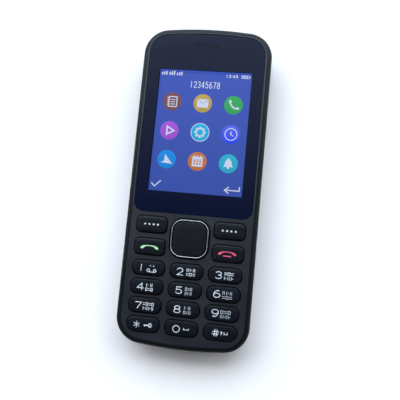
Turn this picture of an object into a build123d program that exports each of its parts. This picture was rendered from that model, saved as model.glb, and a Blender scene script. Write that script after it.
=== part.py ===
from build123d import *
from collections import namedtuple
from math import sqrt
import os

# Mobile phone with a keypad, lying on its back, in millimetres.
# +X is the user's right, +Y the earpiece end and +Z out of the screen.
# The origin is the middle of the back, on the surface that the phone lies on.

# Overall outline
corner_radius = 10.0
end_bow_radius = 160.0
front_edge_radius = 1.5
back_edge_radius = 4.0

# Walls and fits of the casing
frame_wall = 1.8
board_ledge = 1.1
rear_wall = 1.0
cover_wall = 1.0
cover_height = 3.2
housing_fit = 0.05
cover_fit = 0.1
seat_gap = 0.05
skirt_thickness = 0.8

# Layers from the back to the face
battery_thickness = 4.5
deck_thickness = 0.6
component_height = 1.7
board_thickness = 0.9
backlight_thickness = 1.05
panel_thickness = 1.05
gasket_thickness = 0.35
ledge_thickness = 0.8
tape_thickness = 0.1
window_thickness = 0.7

# Display and window
active_width = 36.72
active_length = 48.96
active_side = 7.19
active_rise = 8.37
active_head = 14.83
active_clearance = 0.5
window_inset = 2.49
window_fit = 0.08
window_foot_radius = 3.8
window_edge = 0.15
panel_side_gap = 1.8
panel_head = 2.8
panel_foot = 5.6
gasket_band = 1.6
backlight_rim = 0.4
backlight_fit = 0.05
backlight_lip = 0.4
panel_shelf = 3.4
flex_width = 18.0
flex_length = 1.8
flex_overlap = 1.6
flex_bend = 0.3
flex_drop = 0.9
flex_gap = 1.0
flex_thickness = 0.15

# Earpiece
earpiece_length = 10.0
earpiece_slot = 1.0
earpiece_offset = 4.7
mesh_overlap = 0.4
mesh_fit = 0.05
mesh_thickness = 0.2
receiver_length = 15.0
receiver_width = 6.0
receiver_corner = 2.0

# Keypad
keypad_side_margin = 2.46
keypad_foot_margin = 3.4
number_rows = 4
number_columns = 3
number_length = 6.27
number_gap_x = 1.55
number_gap_y = 0.82
number_corner = 2.8
outer_corner = 3.7
function_length = 6.92
function_gap = 1.63
function_rise = 1.49
function_corner = 2.2
window_rise = 1.45
nav_size = 15.71
nav_corner = 5.0
nav_side_gap = 0.96

# Key caps
key_gap = 0.25
key_proud = 0.65
key_chamfer = 0.4
key_travel = 0.3
key_ear = 0.5
key_ear_thickness = 0.7
key_ear_length = 3.0
key_clearance = 0.05

# Navigation key
rocker_proud = 0.6
rocker_wall = 0.9
rocker_floor = 0.5
rocker_lip_chamfer = 0.2
rocker_nub_size = 1.2
rocker_nub_reach = 5.5
rocker_nub_length = 0.38
rocker_ear = 0.45
ring_width = 0.45
ring_height = 0.4
ring_inset = 0.25
ring_chamfer = 0.12
centre_gap = 0.25
centre_sink = 0.05
centre_lift = 0.75
centre_chamfer = 0.3
plunger_radius = 1.2
plunger_hole_gap = 0.5
base_radius = 3.0
base_thickness = 0.3
base_gap = 0.2

# Silicone mat and dome sheet
dome_film = 0.12
dome_radius = 2.0
dome_sides = 8
dome_slope = 75.0
dome_height = 0.22
mat_thickness = 0.42
mat_pad_height = 0.3
mat_pad_width = 5.0
mat_pad_length = 2.8
mat_margin = 0.6
dome_gap = 0.02

# Battery and its bay
battery_width = 37.0
battery_head_room = 40.4
battery_foot_room = 30.4
battery_side_radius = 1.5
bay_gap = 0.2
bay_wall = 1.0
scoop_radius = 6.0
scoop_depth = 1.6
contact_count = 3
contact_pitch = 2.6
contact_width = 1.3
contact_height = 1.6
terminal_thickness = 0.1
terminal_width = 1.9
terminal_height = 2.4
contact_gap = 0.03
connector_width = 8.6
connector_length = 2.6

# Screws and posts
screw_radius = 0.7
screw_head_radius = 1.25
screw_head_height = 0.8
screw_counterbore = 2.0
screw_bite = 2.0
screw_clearance = 0.15
thread_fit = 0.02
board_screw_clearance = 0.3
boss_radius = 1.4
post_radius = 1.9
boss_gap = 0.2
top_screw_side = 7.0
top_screw_end = 5.9
board_gap = 0.3

# Board components
can_width = 30.0
can_length = 27.0
can_wall = 0.2
component_gap = 0.1
sim_width = 15.6
sim_length = 16.6
card_width = 12.0
card_length = 14.0
socket_gap = 0.2
socket_wall = 0.2
sim_slot = 0.9
card_slot = 0.8
socket_stop = 1.6
socket_entry = 6.0
chip_height = 0.9
processor_size = 10.0
memory_width = 8.0
memory_length = 11.0
radio_size = 6.0
chip_gap = 1.0
jack_width = 6.2
jack_length = 14.0
jack_bore_length = 13.0
jack_corner = 0.4
jack_setback = 1.0
jack_sink = 0.9
jack_bore_radius = 1.8
jack_nose_radius = 2.5
jack_post_gap = 0.55
jack_drop = 0.1
jack_height = 5.0
usb_width = 7.5
usb_height = 2.6
usb_length = 5.4
usb_wall = 0.3
usb_corner = 0.8
usb_sink = 1.3
usb_tongue_length = 4.0
usb_post_gap = 4.3
usb_tongue_width = 3.7
usb_tongue_height = 0.6
port_gap = 0.15

# Sounders, motor, camera and antenna
speaker_width = 18.0
speaker_length = 13.0
speaker_height = 3.0
speaker_corner = 3.0
speaker_side = -9.0
speaker_below_bay = 9.5
speaker_slots = 5
speaker_slot_length = 10.0
speaker_slot_width = 1.0
speaker_slot_pitch = 2.0
motor_radius = 2.2
motor_length = 8.0
motor_side = 7.2
motor_below_bay = 9.0
motor_shaft_radius = 0.4
motor_shaft_fit = 0.05
motor_shaft_seat = 1.0
motor_shaft_gap = 0.5
weight_radius = 2.0
weight_length = 3.4
weight_hub_radius = 0.9
cradle_width = 6.4
cradle_fit = 0.05
camera_size = 7.0
camera_above_bay = 22.0
camera_base_height = 2.2
camera_barrel_radius = 2.6
camera_pupil_radius = 1.0
camera_window_radius = 3.4
camera_window_thickness = 0.6
camera_boss_wall = 0.7
camera_gap = 0.1
torch_side = 8.2
torch_base = 3.2
torch_lens_radius = 1.2
torch_base_height = 1.0
torch_sink = 0.15
mic_radius = 2.0
mic_height = 1.5
mic_port_radius = 0.5
mic_from_end = 5.4
antenna_width = 30.0
antenna_length = 4.6
antenna_height = 2.6
antenna_from_end = 8.3
tab_width = 5.0
tab_thickness = 0.6
tab_height = 1.0
tab_inset = 0.4
tab_gap = 0.1
tab_end_gap = 5.85
tab_count = 3
nail_notch_radius = 5.0
nail_notch_depth = 0.7
housing_edge = 0.15
rib_thickness = 0.8

# Heights of the layers
frame_back = cover_wall + cover_fit
bay_floor = frame_back + battery_thickness + seat_gap
deck_top = bay_floor + deck_thickness
board_back = deck_top + component_height
board_front = board_back + board_thickness
panel_back = board_front + backlight_thickness
panel_front = panel_back + panel_thickness
housing_inside = panel_front + gasket_thickness
ledge_top = housing_inside + ledge_thickness
window_back = ledge_top + tape_thickness
face_height = window_back + window_thickness
cavity_back = frame_back + rear_wall

# The body is as wide as the display with its margins, and as long as the keypad, the window and theirs
body_width = active_width + 2 * active_side
number_pitch_y = number_length + number_gap_y
number_block = number_rows * number_pitch_y - number_gap_y
keypad_length = number_block + function_rise + 2 * function_length + function_gap
window_length = active_rise + active_length + active_head
foot_length = frame_wall + keypad_foot_margin
body_length = foot_length + keypad_length + window_rise + window_length + window_inset

# Places along and across the body
half_width = body_width / 2
half_length = body_length / 2
end_bow = end_bow_radius - sqrt(end_bow_radius**2 - half_width**2)
cavity_inset = frame_wall + board_ledge
skirt_inset = frame_wall + housing_fit + skirt_thickness
board_inset = frame_wall + board_gap
keypad_half = half_width - frame_wall - keypad_side_margin
number_width = (2 * keypad_half - (number_columns - 1) * number_gap_x) / number_columns
number_pitch_x = number_width + number_gap_x
keypad_foot = foot_length - half_length
last_row = keypad_foot + number_length / 2
keypad_top = keypad_foot + keypad_length
soft_row = keypad_top - function_length / 2
call_row = soft_row - function_length - function_gap
nav_row = (call_row + soft_row) / 2
function_inside = nav_size / 2 + nav_side_gap
function_width = keypad_half - function_inside
function_side = (keypad_half + function_inside) / 2
window_foot = keypad_top + window_rise
active_foot = window_foot + active_rise
active_centre = active_foot + active_length / 2
opening_width = active_width + 2 * active_clearance
opening_length = active_length + 2 * active_clearance
window_head = window_foot + window_length
earpiece_y = window_head - earpiece_offset
panel_width = 2 * (half_width - skirt_inset - panel_side_gap)
panel_top = active_foot + active_length + panel_head
panel_bottom = active_foot - panel_foot
panel_length = panel_top - panel_bottom
panel_centre = (panel_top + panel_bottom) / 2
battery_end = half_length - battery_head_room
battery_length = battery_end + half_length - battery_foot_room
battery_centre = battery_end - battery_length / 2
bay_width = battery_width + 2 * bay_gap
bay_length = battery_length + 2 * bay_gap
bay_top = battery_end + bay_gap
bay_bottom = bay_top - bay_length

four_sides = ((1, 0), (-1, 0), (0, 1), (0, -1))

KeySeat = namedtuple("KeySeat", "name x y width length corner outer")


def number_seats():
    """The twelve number keys' apertures, from the upper left to the lower right."""
    digits = [str(digit) for digit in range(1, 10)] + ["star", "0", "hash"]
    seats = []
    for index, digit in enumerate(digits):
        row, column = divmod(index, number_columns)
        side = column - 1
        outer = side if row == number_rows - 1 else 0
        x = side * number_pitch_x
        y = last_row + (number_rows - 1 - row) * number_pitch_y
        seat = KeySeat(f"key_{digit}", x, y, number_width, number_length, number_corner, outer)
        seats.append(seat)
    return seats


def function_seats():
    """The soft keys' apertures and, under them, the call keys'."""
    rows = [(soft_row, "soft_key_left", "soft_key_right"), (call_row, "call_key", "end_key")]
    seats = []
    for y, left, right in rows:
        for name, side in ((left, -1), (right, 1)):
            x = side * function_side
            seat = KeySeat(name, x, y, function_width, function_length, function_corner, 0)
            seats.append(seat)
    return seats


key_seats = function_seats() + number_seats()

# The screws sit in the upper corners and between the lowest keys.
screw_places = [
    (side * (half_width - across), y)
    for across, y in (
        (top_screw_side, half_length - top_screw_end),
        (half_width - number_pitch_x / 2, keypad_foot - key_ear - boss_gap - boss_radius + key_gap),
    )
    for side in (-1, 1)
]


def save(piece, name):
    """Label a finished piece and write its file."""
    piece.part.label = name
    export_step(piece.part, f"parts/{name}.step")


def key_shape(seat, inset):
    """A key's aperture, drawn in by inset."""
    width = seat.width - 2 * inset
    length = seat.length - 2 * inset
    with BuildSketch(mode=Mode.PRIVATE) as shape:
        with Locations((seat.x, seat.y)):
            RectangleRounded(width, length, seat.corner - inset)
        if seat.outer:
            align = Align.MIN if seat.outer < 0 else Align.MAX
            with Locations((seat.x + seat.outer * width / 2, seat.y - length / 2)):
                RectangleRounded(
                    2 * width,
                    2 * length,
                    outer_corner - inset,
                    align=(align, Align.MIN),
                    mode=Mode.INTERSECT,
                )
    return shape.sketch


def nav_shape(inset):
    """The navigation key's aperture, drawn in by inset."""
    with BuildSketch(mode=Mode.PRIVATE) as shape:
        with Locations((0, nav_row)):
            RectangleRounded(nav_size - 2 * inset, nav_size - 2 * inset, nav_corner - inset)
    return shape.sketch


os.makedirs("parts", exist_ok=True)

# Outline of the body seen from the front
with BuildSketch() as outline:
    with BuildLine():
        side_end = half_length - end_bow
        Line((half_width, -side_end), (half_width, side_end))
        ThreePointArc((half_width, side_end), (0, half_length), (-half_width, side_end))
        Line((-half_width, side_end), (-half_width, -side_end))
        ThreePointArc((-half_width, -side_end), (0, -half_length), (half_width, -side_end))
    make_face()
    fillet(outline.vertices(), corner_radius)


def inset_outline(inset):
    """The body's outline, drawn in by inset."""
    return offset(outline.sketch, amount=-inset, mode=Mode.PRIVATE)


def outline_slab(inset, low, high, mode=Mode.ADD):
    """Add or cut the inset outline between two heights, in the piece being built."""
    with BuildSketch(Plane.XY.offset(low)) as profile:
        add(inset_outline(inset))
    extrude(profile.sketch, amount=high - low, mode=mode)


# Outline of the display window, with straight lower edge
with BuildSketch() as window_outline:
    add(inset_outline(window_inset))
    with Locations((0, window_foot)):
        Rectangle(body_width, body_length, align=(Align.CENTER, Align.MIN), mode=Mode.INTERSECT)
    fillet(window_outline.vertices().sort_by(Axis.Y)[:2], window_foot_radius)

# The whole body as one rounded block, which the casing's outer faces are cut to
with BuildPart() as envelope:
    outline_slab(0, 0, face_height)
    fillet(envelope.faces().sort_by(Axis.Z)[-1].edges(), front_edge_radius)
    fillet(envelope.faces().sort_by(Axis.Z)[0].edges(), back_edge_radius)

# Slant inside the rounded back edge, where it leaves the cover's wall its full thickness
cover_slant = (2 - sqrt(2)) * (back_edge_radius - cover_wall)

# Rear part of the frame, which the rear cover wraps
with BuildPart() as belly:
    outline_slab(cover_wall + cover_fit, frame_back, board_back)
    chamfer(belly.faces().sort_by(Axis.Z)[0].edges(), cover_slant)

# Hollow of the rear cover
with BuildPart() as cover_hollow:
    outline_slab(cover_wall, cover_wall, board_back)
    chamfer(cover_hollow.faces().sort_by(Axis.Z)[0].edges(), cover_slant)

tab_spacing = half_length - end_bow - corner_radius - tab_end_gap

# Places of the parts behind the board
card_side = bay_width / 4
sim_x = -card_side
sim_y = bay_top - 2 * bay_wall - sim_length / 2
card_x = card_side
card_y = bay_top - 2 * bay_wall - card_length / 2
can_y = sim_y - sim_length / 2 - 2 * bay_wall - can_length / 2
camera_y = bay_top + camera_above_bay
speaker_y = bay_bottom - speaker_below_bay
motor_y = bay_bottom - motor_below_bay
motor_z = cavity_back + motor_radius + seat_gap + rear_wall / 2
weight_start = motor_side + motor_length + motor_shaft_gap
mic_y = -half_length + mic_from_end
antenna_y = -half_length + antenna_from_end
socket_limit = half_width - top_screw_side - post_radius
jack_x = -(socket_limit - jack_post_gap - jack_width / 2)
usb_x = socket_limit - usb_post_gap - usb_width / 2
jack_z = board_front - jack_drop - jack_height / 2
jack_front = half_length - cavity_inset - jack_setback
jack_mouth = half_length - jack_sink
usb_z = board_back - usb_height / 2
usb_mouth = half_length - usb_sink
connector_back = bay_top + component_gap
contact_z = frame_back + battery_thickness / 2
camera_back = frame_back - cover_wall
mat_back = board_front + dome_film + dome_height + dome_gap
mat_front = mat_back + mat_thickness
key_foot = mat_front + mat_pad_height + key_travel + key_clearance
rocker_top = face_height + rocker_proud
base_front = key_foot - base_gap
centre_foot = key_foot + rocker_floor + centre_lift
plunger_foot = mat_front + key_travel + key_clearance

# Middle frame: the black outer wall, the battery bay and the posts
with BuildPart() as middle_frame:
    outline_slab(0, cover_height, face_height)
    add(envelope.part, mode=Mode.INTERSECT)
    add(belly.part)
    outline_slab(frame_wall, board_back, face_height, mode=Mode.SUBTRACT)

    # Hollow behind the board, around the bay and the screw posts
    with BuildSketch(Plane.XY.offset(cavity_back)):
        add(inset_outline(cavity_inset))
        with Locations((0, battery_centre)):
            Rectangle(bay_width + 2 * bay_wall, bay_length + 2 * bay_wall, mode=Mode.SUBTRACT)
        with Locations(*screw_places):
            Circle(post_radius, mode=Mode.SUBTRACT)
    extrude(amount=deck_top - cavity_back, mode=Mode.SUBTRACT)
    with BuildSketch(Plane.XY.offset(deck_top)):
        add(inset_outline(cavity_inset))
        with Locations(*screw_places):
            Circle(post_radius, mode=Mode.SUBTRACT)
    extrude(amount=component_height, mode=Mode.SUBTRACT)

    # Battery bay with a scoop for a fingertip at its lower end
    with BuildSketch(Plane.XY.offset(frame_back)):
        with Locations((0, battery_centre)):
            Rectangle(bay_width, bay_length)
    extrude(amount=bay_floor - frame_back, mode=Mode.SUBTRACT)

    # Openings in the bay's floor for the two card sockets
    with BuildSketch(Plane.XY.offset(bay_floor)):
        for x, y, width, length in (
            (sim_x, sim_y, sim_width, sim_length),
            (card_x, card_y, card_width, card_length),
        ):
            with Locations((x, y + length / 2 + socket_gap)):
                Rectangle(
                    width + 2 * socket_gap,
                    length + socket_entry + socket_gap,
                    align=(Align.CENTER, Align.MAX),
                )
    extrude(amount=deck_thickness, mode=Mode.SUBTRACT)

    # Passage in the bay's upper end for the contact block
    with BuildSketch(Plane.XY.offset(cavity_back)):
        with Locations((0, bay_top)):
            Rectangle(connector_width + 2 * socket_gap, 2 * bay_wall + 2 * socket_gap)
    extrude(amount=deck_top - cavity_back, mode=Mode.SUBTRACT)

    # Fingertip scoop at the bay's lower end
    with BuildSketch(Plane.XY.offset(frame_back)):
        with Locations((0, bay_bottom)):
            Circle(scoop_radius)
    extrude(amount=scoop_depth / 2, mode=Mode.SUBTRACT)

    # Counterbored holes for the housing screws
    screw_seats = [Location((x, y, frame_back), (180, 0, 0)) for x, y in screw_places]
    with Locations(*screw_seats):
        CounterBoreHole(
            radius=screw_radius + screw_clearance,
            counter_bore_radius=screw_head_radius + screw_clearance,
            counter_bore_depth=screw_counterbore,
            depth=board_back - frame_back,
        )

    # Cradle that the vibration motor lies in
    with BuildSketch(Plane.XY.offset(cavity_back)):
        with Locations((motor_side + motor_length / 2, motor_y)):
            Rectangle(cradle_width, 2 * motor_radius + 2 * bay_wall)
    extrude(amount=motor_z - cavity_back)
    with Locations(Location((motor_side + motor_length / 2, motor_y, motor_z), (0, 90, 0))):
        Cylinder(motor_radius + cradle_fit, motor_length + bay_wall, mode=Mode.SUBTRACT)

    # Camera opening with its rim, and the torch's and the loudspeaker's openings in the rear wall
    with BuildSketch(Plane.XY.offset(frame_back)):
        with Locations((0, camera_y)):
            Circle(camera_window_radius + camera_boss_wall)
    extrude(amount=-cover_wall)
    with BuildSketch(Plane.XY.offset(camera_back)):
        with Locations((0, camera_y)):
            Circle(camera_window_radius + cradle_fit)
    extrude(amount=camera_window_thickness, mode=Mode.SUBTRACT)
    with BuildSketch(Plane.XY.offset(camera_back)):
        with Locations((0, camera_y)):
            Circle(camera_barrel_radius + camera_gap)
        with Locations((torch_side, camera_y)):
            Circle(torch_lens_radius + port_gap)
    extrude(amount=cover_wall + rear_wall, mode=Mode.SUBTRACT)
    with BuildSketch(Plane.XY.offset(frame_back)):
        with Locations((speaker_side, speaker_y)):
            Rectangle(speaker_slot_length, speaker_slots * speaker_slot_pitch)
    extrude(amount=rear_wall, mode=Mode.SUBTRACT)

    # Openings for the audio jack and the charging connector in the upper wall
    with BuildSketch(Plane.XZ.offset(-half_length - rear_wall)):
        with Locations((jack_x, jack_z)):
            Circle(jack_nose_radius + port_gap)
        with Locations((usb_x, usb_z)):
            RectangleRounded(usb_width + 2 * port_gap, usb_height + 2 * port_gap, usb_corner)
    extrude(amount=cavity_inset + 2 * rear_wall, mode=Mode.SUBTRACT)

    # Microphone port in the lower wall
    with BuildSketch(Plane.XZ.offset(half_length + rear_wall)):
        with Locations((0, board_back - mic_height / 2)):
            Circle(mic_port_radius)
    extrude(amount=-cavity_inset - 2 * rear_wall, mode=Mode.SUBTRACT)

    # Slots for the rear cover's locating tabs
    with BuildSketch(Plane.XY.offset(cover_height)):
        for side in (-1, 1):
            with Locations((side * (half_width - tab_inset - tab_thickness / 2), 0)):
                with GridLocations(0, tab_spacing, 1, tab_count):
                    Rectangle(tab_thickness + 2 * tab_gap, tab_width + 2 * tab_gap)
    extrude(amount=tab_height + tab_gap, mode=Mode.SUBTRACT)
save(middle_frame, "middle_frame")

# Rear cover with its rounded edge, tabs and openings
with BuildPart() as rear_cover:
    outline_slab(0, 0, cover_height)
    add(envelope.part, mode=Mode.INTERSECT)
    add(cover_hollow.part, mode=Mode.SUBTRACT)
    with BuildSketch(Plane.XY.offset(cover_height - tab_height)):
        for side in (-1, 1):
            with Locations((side * (half_width - tab_inset - tab_thickness / 2), 0)):
                with GridLocations(0, tab_spacing, 1, tab_count):
                    Rectangle(tab_thickness, tab_width)
    extrude(amount=2 * tab_height)
    with BuildSketch():
        with Locations((0, camera_y)):
            Circle(camera_window_radius + camera_boss_wall + cover_fit)
        with Locations((torch_side, camera_y)):
            Circle(torch_lens_radius + port_gap)
        with Locations((speaker_side, speaker_y)):
            with GridLocations(0, speaker_slot_pitch, 1, speaker_slots):
                SlotOverall(speaker_slot_length, speaker_slot_width)
    extrude(amount=cover_wall, mode=Mode.SUBTRACT)

    # Fingernail notch in the rim at the lower end
    with BuildSketch(Plane.XZ.offset(half_length + cover_wall)):
        with Locations((0, cover_height + nail_notch_radius - nail_notch_depth)):
            Circle(nail_notch_radius)
    extrude(amount=-2 * cover_wall, mode=Mode.SUBTRACT)
save(rear_cover, "rear_cover")

# Front housing: the grey face with its skirt, bosses, display recess and key apertures
with BuildPart() as front_housing:
    outline_slab(frame_wall + housing_fit, board_front, face_height)
    chamfer(front_housing.faces().sort_by(Axis.Z)[-1].edges(), housing_edge)
    outline_slab(skirt_inset, board_front, housing_inside, mode=Mode.SUBTRACT)

    # Screw bosses, and the rib between the display and the keypad with its gap for the flex
    with BuildSketch(Plane.XY.offset(board_front)):
        with Locations(*screw_places):
            Circle(boss_radius)
        with Locations((0, window_foot + window_rise / 2)):
            Rectangle(body_width, rib_thickness)
            Rectangle(flex_width + 2 * flex_gap, rib_thickness, mode=Mode.SUBTRACT)
        add(inset_outline(frame_wall + housing_fit), mode=Mode.INTERSECT)
    extrude(amount=housing_inside - board_front)
    with BuildSketch(Plane.XY.offset(board_front)):
        with Locations(*screw_places):
            Circle(screw_radius + thread_fit)
    extrude(amount=housing_inside - board_front, mode=Mode.SUBTRACT)

    # Recess that the window lies in, and the display opening under it
    with BuildSketch(Plane.XY.offset(ledge_top)):
        offset(window_outline.sketch, amount=window_fit)
    extrude(amount=face_height - ledge_top, mode=Mode.SUBTRACT)
    with BuildSketch(Plane.XY.offset(housing_inside)):
        with Locations((0, active_centre)):
            Rectangle(opening_width, opening_length)
        with Locations((0, earpiece_y)):
            SlotOverall(earpiece_length, earpiece_slot)
    extrude(amount=ledge_thickness, mode=Mode.SUBTRACT)
    with BuildSketch(Plane.XY.offset(ledge_top - mesh_thickness)):
        with Locations((0, earpiece_y)):
            SlotOverall(earpiece_length + 2 * mesh_overlap, earpiece_slot + 2 * mesh_overlap)
    extrude(amount=mesh_thickness, mode=Mode.SUBTRACT)

    # Key apertures
    with BuildSketch(Plane.XY.offset(housing_inside)):
        for seat in key_seats:
            add(key_shape(seat, 0))
        add(nav_shape(0))
    extrude(amount=face_height - housing_inside, mode=Mode.SUBTRACT)
save(front_housing, "front_housing")

# Display window with the earpiece slot
with BuildPart() as display_window:
    with BuildSketch(Plane.XY.offset(window_back)):
        add(window_outline.sketch)
    extrude(amount=window_thickness)
    chamfer(display_window.faces().sort_by(Axis.Z)[-1].edges(), window_edge)
    with BuildSketch(Plane.XY.offset(window_back)):
        with Locations((0, earpiece_y)):
            SlotOverall(earpiece_length, earpiece_slot)
    extrude(amount=window_thickness, mode=Mode.SUBTRACT)
save(display_window, "display_window")

# Adhesive tape between the window and its ledge
with BuildPart() as window_tape:
    with BuildSketch(Plane.XY.offset(ledge_top)):
        offset(window_outline.sketch, amount=-window_fit)
        with Locations((0, active_centre)):
            Rectangle(opening_width, opening_length, mode=Mode.SUBTRACT)
        with Locations((0, earpiece_y)):
            SlotOverall(earpiece_length, earpiece_slot, mode=Mode.SUBTRACT)
    extrude(amount=tape_thickness)
save(window_tape, "window_tape")

# Earpiece mesh in its pocket, and the receiver under it
with BuildPart() as earpiece_mesh:
    mesh_reach = mesh_overlap - mesh_fit
    with BuildSketch(Plane.XY.offset(ledge_top - mesh_thickness)):
        with Locations((0, earpiece_y)):
            SlotOverall(earpiece_length + 2 * mesh_reach, earpiece_slot + 2 * mesh_reach)
    extrude(amount=mesh_thickness)
save(earpiece_mesh, "earpiece_mesh")

with BuildPart() as earpiece_receiver:
    with BuildSketch(Plane.XY.offset(board_front + seat_gap)):
        with Locations((0, earpiece_y)):
            RectangleRounded(receiver_length, receiver_width, receiver_corner)
    extrude(amount=housing_inside - board_front - 2 * seat_gap)
save(earpiece_receiver, "earpiece_receiver")

# Display panel of two glass layers, the lower one with a shelf for the flex
with BuildPart() as lcd_panel:
    with BuildSketch(Plane.XY.offset(panel_back)):
        with Locations((0, panel_centre)):
            Rectangle(panel_width, panel_length)
    extrude(amount=panel_thickness / 2)
    with BuildSketch(Plane.XY.offset(panel_back + panel_thickness / 2)):
        with Locations((0, panel_top)):
            Rectangle(panel_width, panel_length - panel_shelf, align=(Align.CENTER, Align.MAX))
    extrude(amount=panel_thickness / 2)
save(lcd_panel, "lcd_panel")

# Backlight tray whose low lip holds the panel
with BuildPart() as backlight_frame:
    with BuildSketch(Plane.XY.offset(board_front)):
        with Locations((0, panel_centre)):
            Rectangle(panel_width + 2 * backlight_rim, panel_length + 2 * backlight_rim)
    extrude(amount=backlight_thickness + backlight_lip)
    with BuildSketch(Plane.XY.offset(panel_back)):
        with Locations((0, panel_centre)):
            Rectangle(panel_width + 2 * backlight_fit, panel_length + 2 * backlight_fit)
    extrude(amount=backlight_lip, mode=Mode.SUBTRACT)
save(backlight_frame, "backlight_frame")

# Foam gasket between the panel and the housing
with BuildPart() as lcd_gasket:
    with BuildSketch(Plane.XY.offset(panel_front)):
        with Locations((0, active_centre)):
            Rectangle(opening_width + 2 * gasket_band, opening_length + 2 * gasket_band)
            Rectangle(opening_width, opening_length, mode=Mode.SUBTRACT)
    extrude(amount=gasket_thickness)
save(lcd_gasket, "lcd_gasket")

# Flex from the panel's shelf down to the board
with BuildPart() as display_flex:
    shelf_height = panel_back + panel_thickness / 2
    with BuildSketch(Plane.YZ.offset(-flex_width / 2)):
        with BuildLine():
            FilletPolyline(
                (panel_bottom + flex_overlap, shelf_height),
                (panel_bottom - flex_drop, shelf_height),
                (panel_bottom - flex_drop, board_front),
                (panel_bottom - flex_drop - flex_length, board_front),
                radius=flex_bend,
            )
            offset(amount=flex_thickness, side=Side.RIGHT)
        make_face()
    extrude(amount=flex_width)
save(display_flex, "display_flex")

# Dome sheet: a film with one eight-sided dome under each key and five under the navigation key
nub_places = [(x * rocker_nub_reach, nav_row + y * rocker_nub_reach) for x, y in four_sides]
nav_dome_places = nub_places + [(0, nav_row)]
key_dome_places = [(seat.x, seat.y) for seat in key_seats]
mat_head = keypad_top + mat_margin
mat_tail = keypad_foot - mat_margin


def keypad_sheet(low, thickness):
    """Add the flat sheet of the keypad's outline, clear of the bosses, in the piece being built."""
    with BuildSketch(Plane.XY.offset(low)) as profile:
        with Locations((0, (mat_head + mat_tail) / 2)):
            Rectangle(2 * (keypad_half + mat_margin), mat_head - mat_tail)
        add(inset_outline(skirt_inset + boss_gap), mode=Mode.INTERSECT)
        with Locations(*screw_places):
            Circle(boss_radius + boss_gap, mode=Mode.SUBTRACT)
    extrude(profile.sketch, amount=thickness)


with BuildPart() as dome_sheet:
    keypad_sheet(board_front, dome_film)
    with BuildSketch(Plane.XY.offset(board_front + dome_film)):
        with Locations(*key_dome_places, *nav_dome_places):
            RegularPolygon(dome_radius, dome_sides)
    extrude(amount=dome_height, taper=dome_slope)
save(dome_sheet, "dome_sheet")

# Silicone mat with a pad under each key
with BuildPart() as keypad_mat:
    keypad_sheet(mat_back, mat_thickness)
    with BuildSketch(Plane.XY.offset(mat_front)):
        with Locations(*key_dome_places):
            Rectangle(mat_pad_width, mat_pad_length)
    extrude(amount=mat_pad_height)
save(keypad_mat, "keypad_mat")


def key_cap(seat):
    """A key cap with its bevelled top edge and the two ears that the front housing holds it by."""
    with BuildPart() as cap:
        with BuildSketch(Plane.XY.offset(key_foot)):
            add(key_shape(seat, key_gap))
        extrude(amount=face_height + key_proud - key_foot)
        chamfer(cap.faces().sort_by(Axis.Z)[-1].edges(), key_chamfer)
        with BuildSketch(Plane.XY.offset(key_foot)):
            with Locations((seat.x, seat.y)):
                Rectangle(seat.width - 2 * key_gap + 2 * key_ear, key_ear_length)
        extrude(amount=key_ear_thickness)
    return cap


for seat in key_seats:
    save(key_cap(seat), seat.name)

# Rocker of the navigation key: a frame with a floor, ears under the housing and four nubs
with BuildPart() as nav_rocker:
    with BuildSketch(Plane.XY.offset(key_foot)):
        add(nav_shape(key_gap))
    extrude(amount=rocker_top - key_foot)
    chamfer(nav_rocker.faces().sort_by(Axis.Z)[-1].edges(), rocker_lip_chamfer)
    with BuildSketch(Plane.XY.offset(key_foot)):
        add(nav_shape(key_gap - rocker_ear))
    extrude(amount=rocker_floor)
    with BuildSketch(Plane.XY.offset(key_foot + rocker_floor)):
        add(nav_shape(key_gap + rocker_wall))
    extrude(amount=rocker_top - key_foot - rocker_floor, mode=Mode.SUBTRACT)
    with BuildSketch(Plane.XY.offset(key_foot)):
        with Locations(*nub_places):
            Rectangle(rocker_nub_size, rocker_nub_size)
    extrude(amount=-rocker_nub_length)
    with BuildSketch(Plane.XY.offset(key_foot)):
        with Locations((0, nav_row)):
            Circle(plunger_radius + plunger_hole_gap)
    extrude(amount=rocker_floor, mode=Mode.SUBTRACT)
save(nav_rocker, "nav_rocker")

# Bright trim ring on the rocker's lip
with BuildPart() as nav_trim_ring:
    with BuildSketch(Plane.XY.offset(rocker_top)):
        add(nav_shape(key_gap + ring_inset))
        add(nav_shape(key_gap + ring_inset + ring_width), mode=Mode.SUBTRACT)
    extrude(amount=ring_height)
    chamfer(nav_trim_ring.faces().sort_by(Axis.Z)[-1].edges(), ring_chamfer)
save(nav_trim_ring, "nav_trim_ring")

# Centre key with its plunger
with BuildPart() as nav_centre_key:
    with BuildSketch(Plane.XY.offset(centre_foot)):
        add(nav_shape(key_gap + rocker_wall + centre_gap))
    extrude(amount=rocker_top - centre_sink - centre_foot)
    chamfer(nav_centre_key.faces().sort_by(Axis.Z)[-1].edges(), centre_chamfer)
    with BuildSketch(Plane.XY.offset(plunger_foot)):
        with Locations((0, nav_row)):
            Circle(plunger_radius)
    extrude(amount=centre_foot - plunger_foot)
save(nav_centre_key, "nav_centre_key")

# Support ring that the rocker tilts on
with BuildPart() as nav_base:
    with BuildSketch(Plane.XY.offset(base_front - base_thickness)):
        with Locations((0, nav_row)):
            Circle(base_radius)
            Circle(plunger_radius + plunger_hole_gap, mode=Mode.SUBTRACT)
    extrude(amount=base_thickness)
save(nav_base, "nav_base")

# Main board with its screw holes and the notch for the audio jack
with BuildPart() as main_board:
    with BuildSketch(Plane.XY.offset(board_back)):
        add(inset_outline(board_inset))
        with Locations(*screw_places):
            Circle(screw_radius + board_screw_clearance, mode=Mode.SUBTRACT)
        with Locations((jack_x, jack_mouth - jack_length - socket_gap)):
            Rectangle(
                jack_width + 2 * socket_gap,
                jack_length,
                align=(Align.CENTER, Align.MIN),
                mode=Mode.SUBTRACT,
            )
    extrude(amount=board_thickness)
save(main_board, "main_board")

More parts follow.
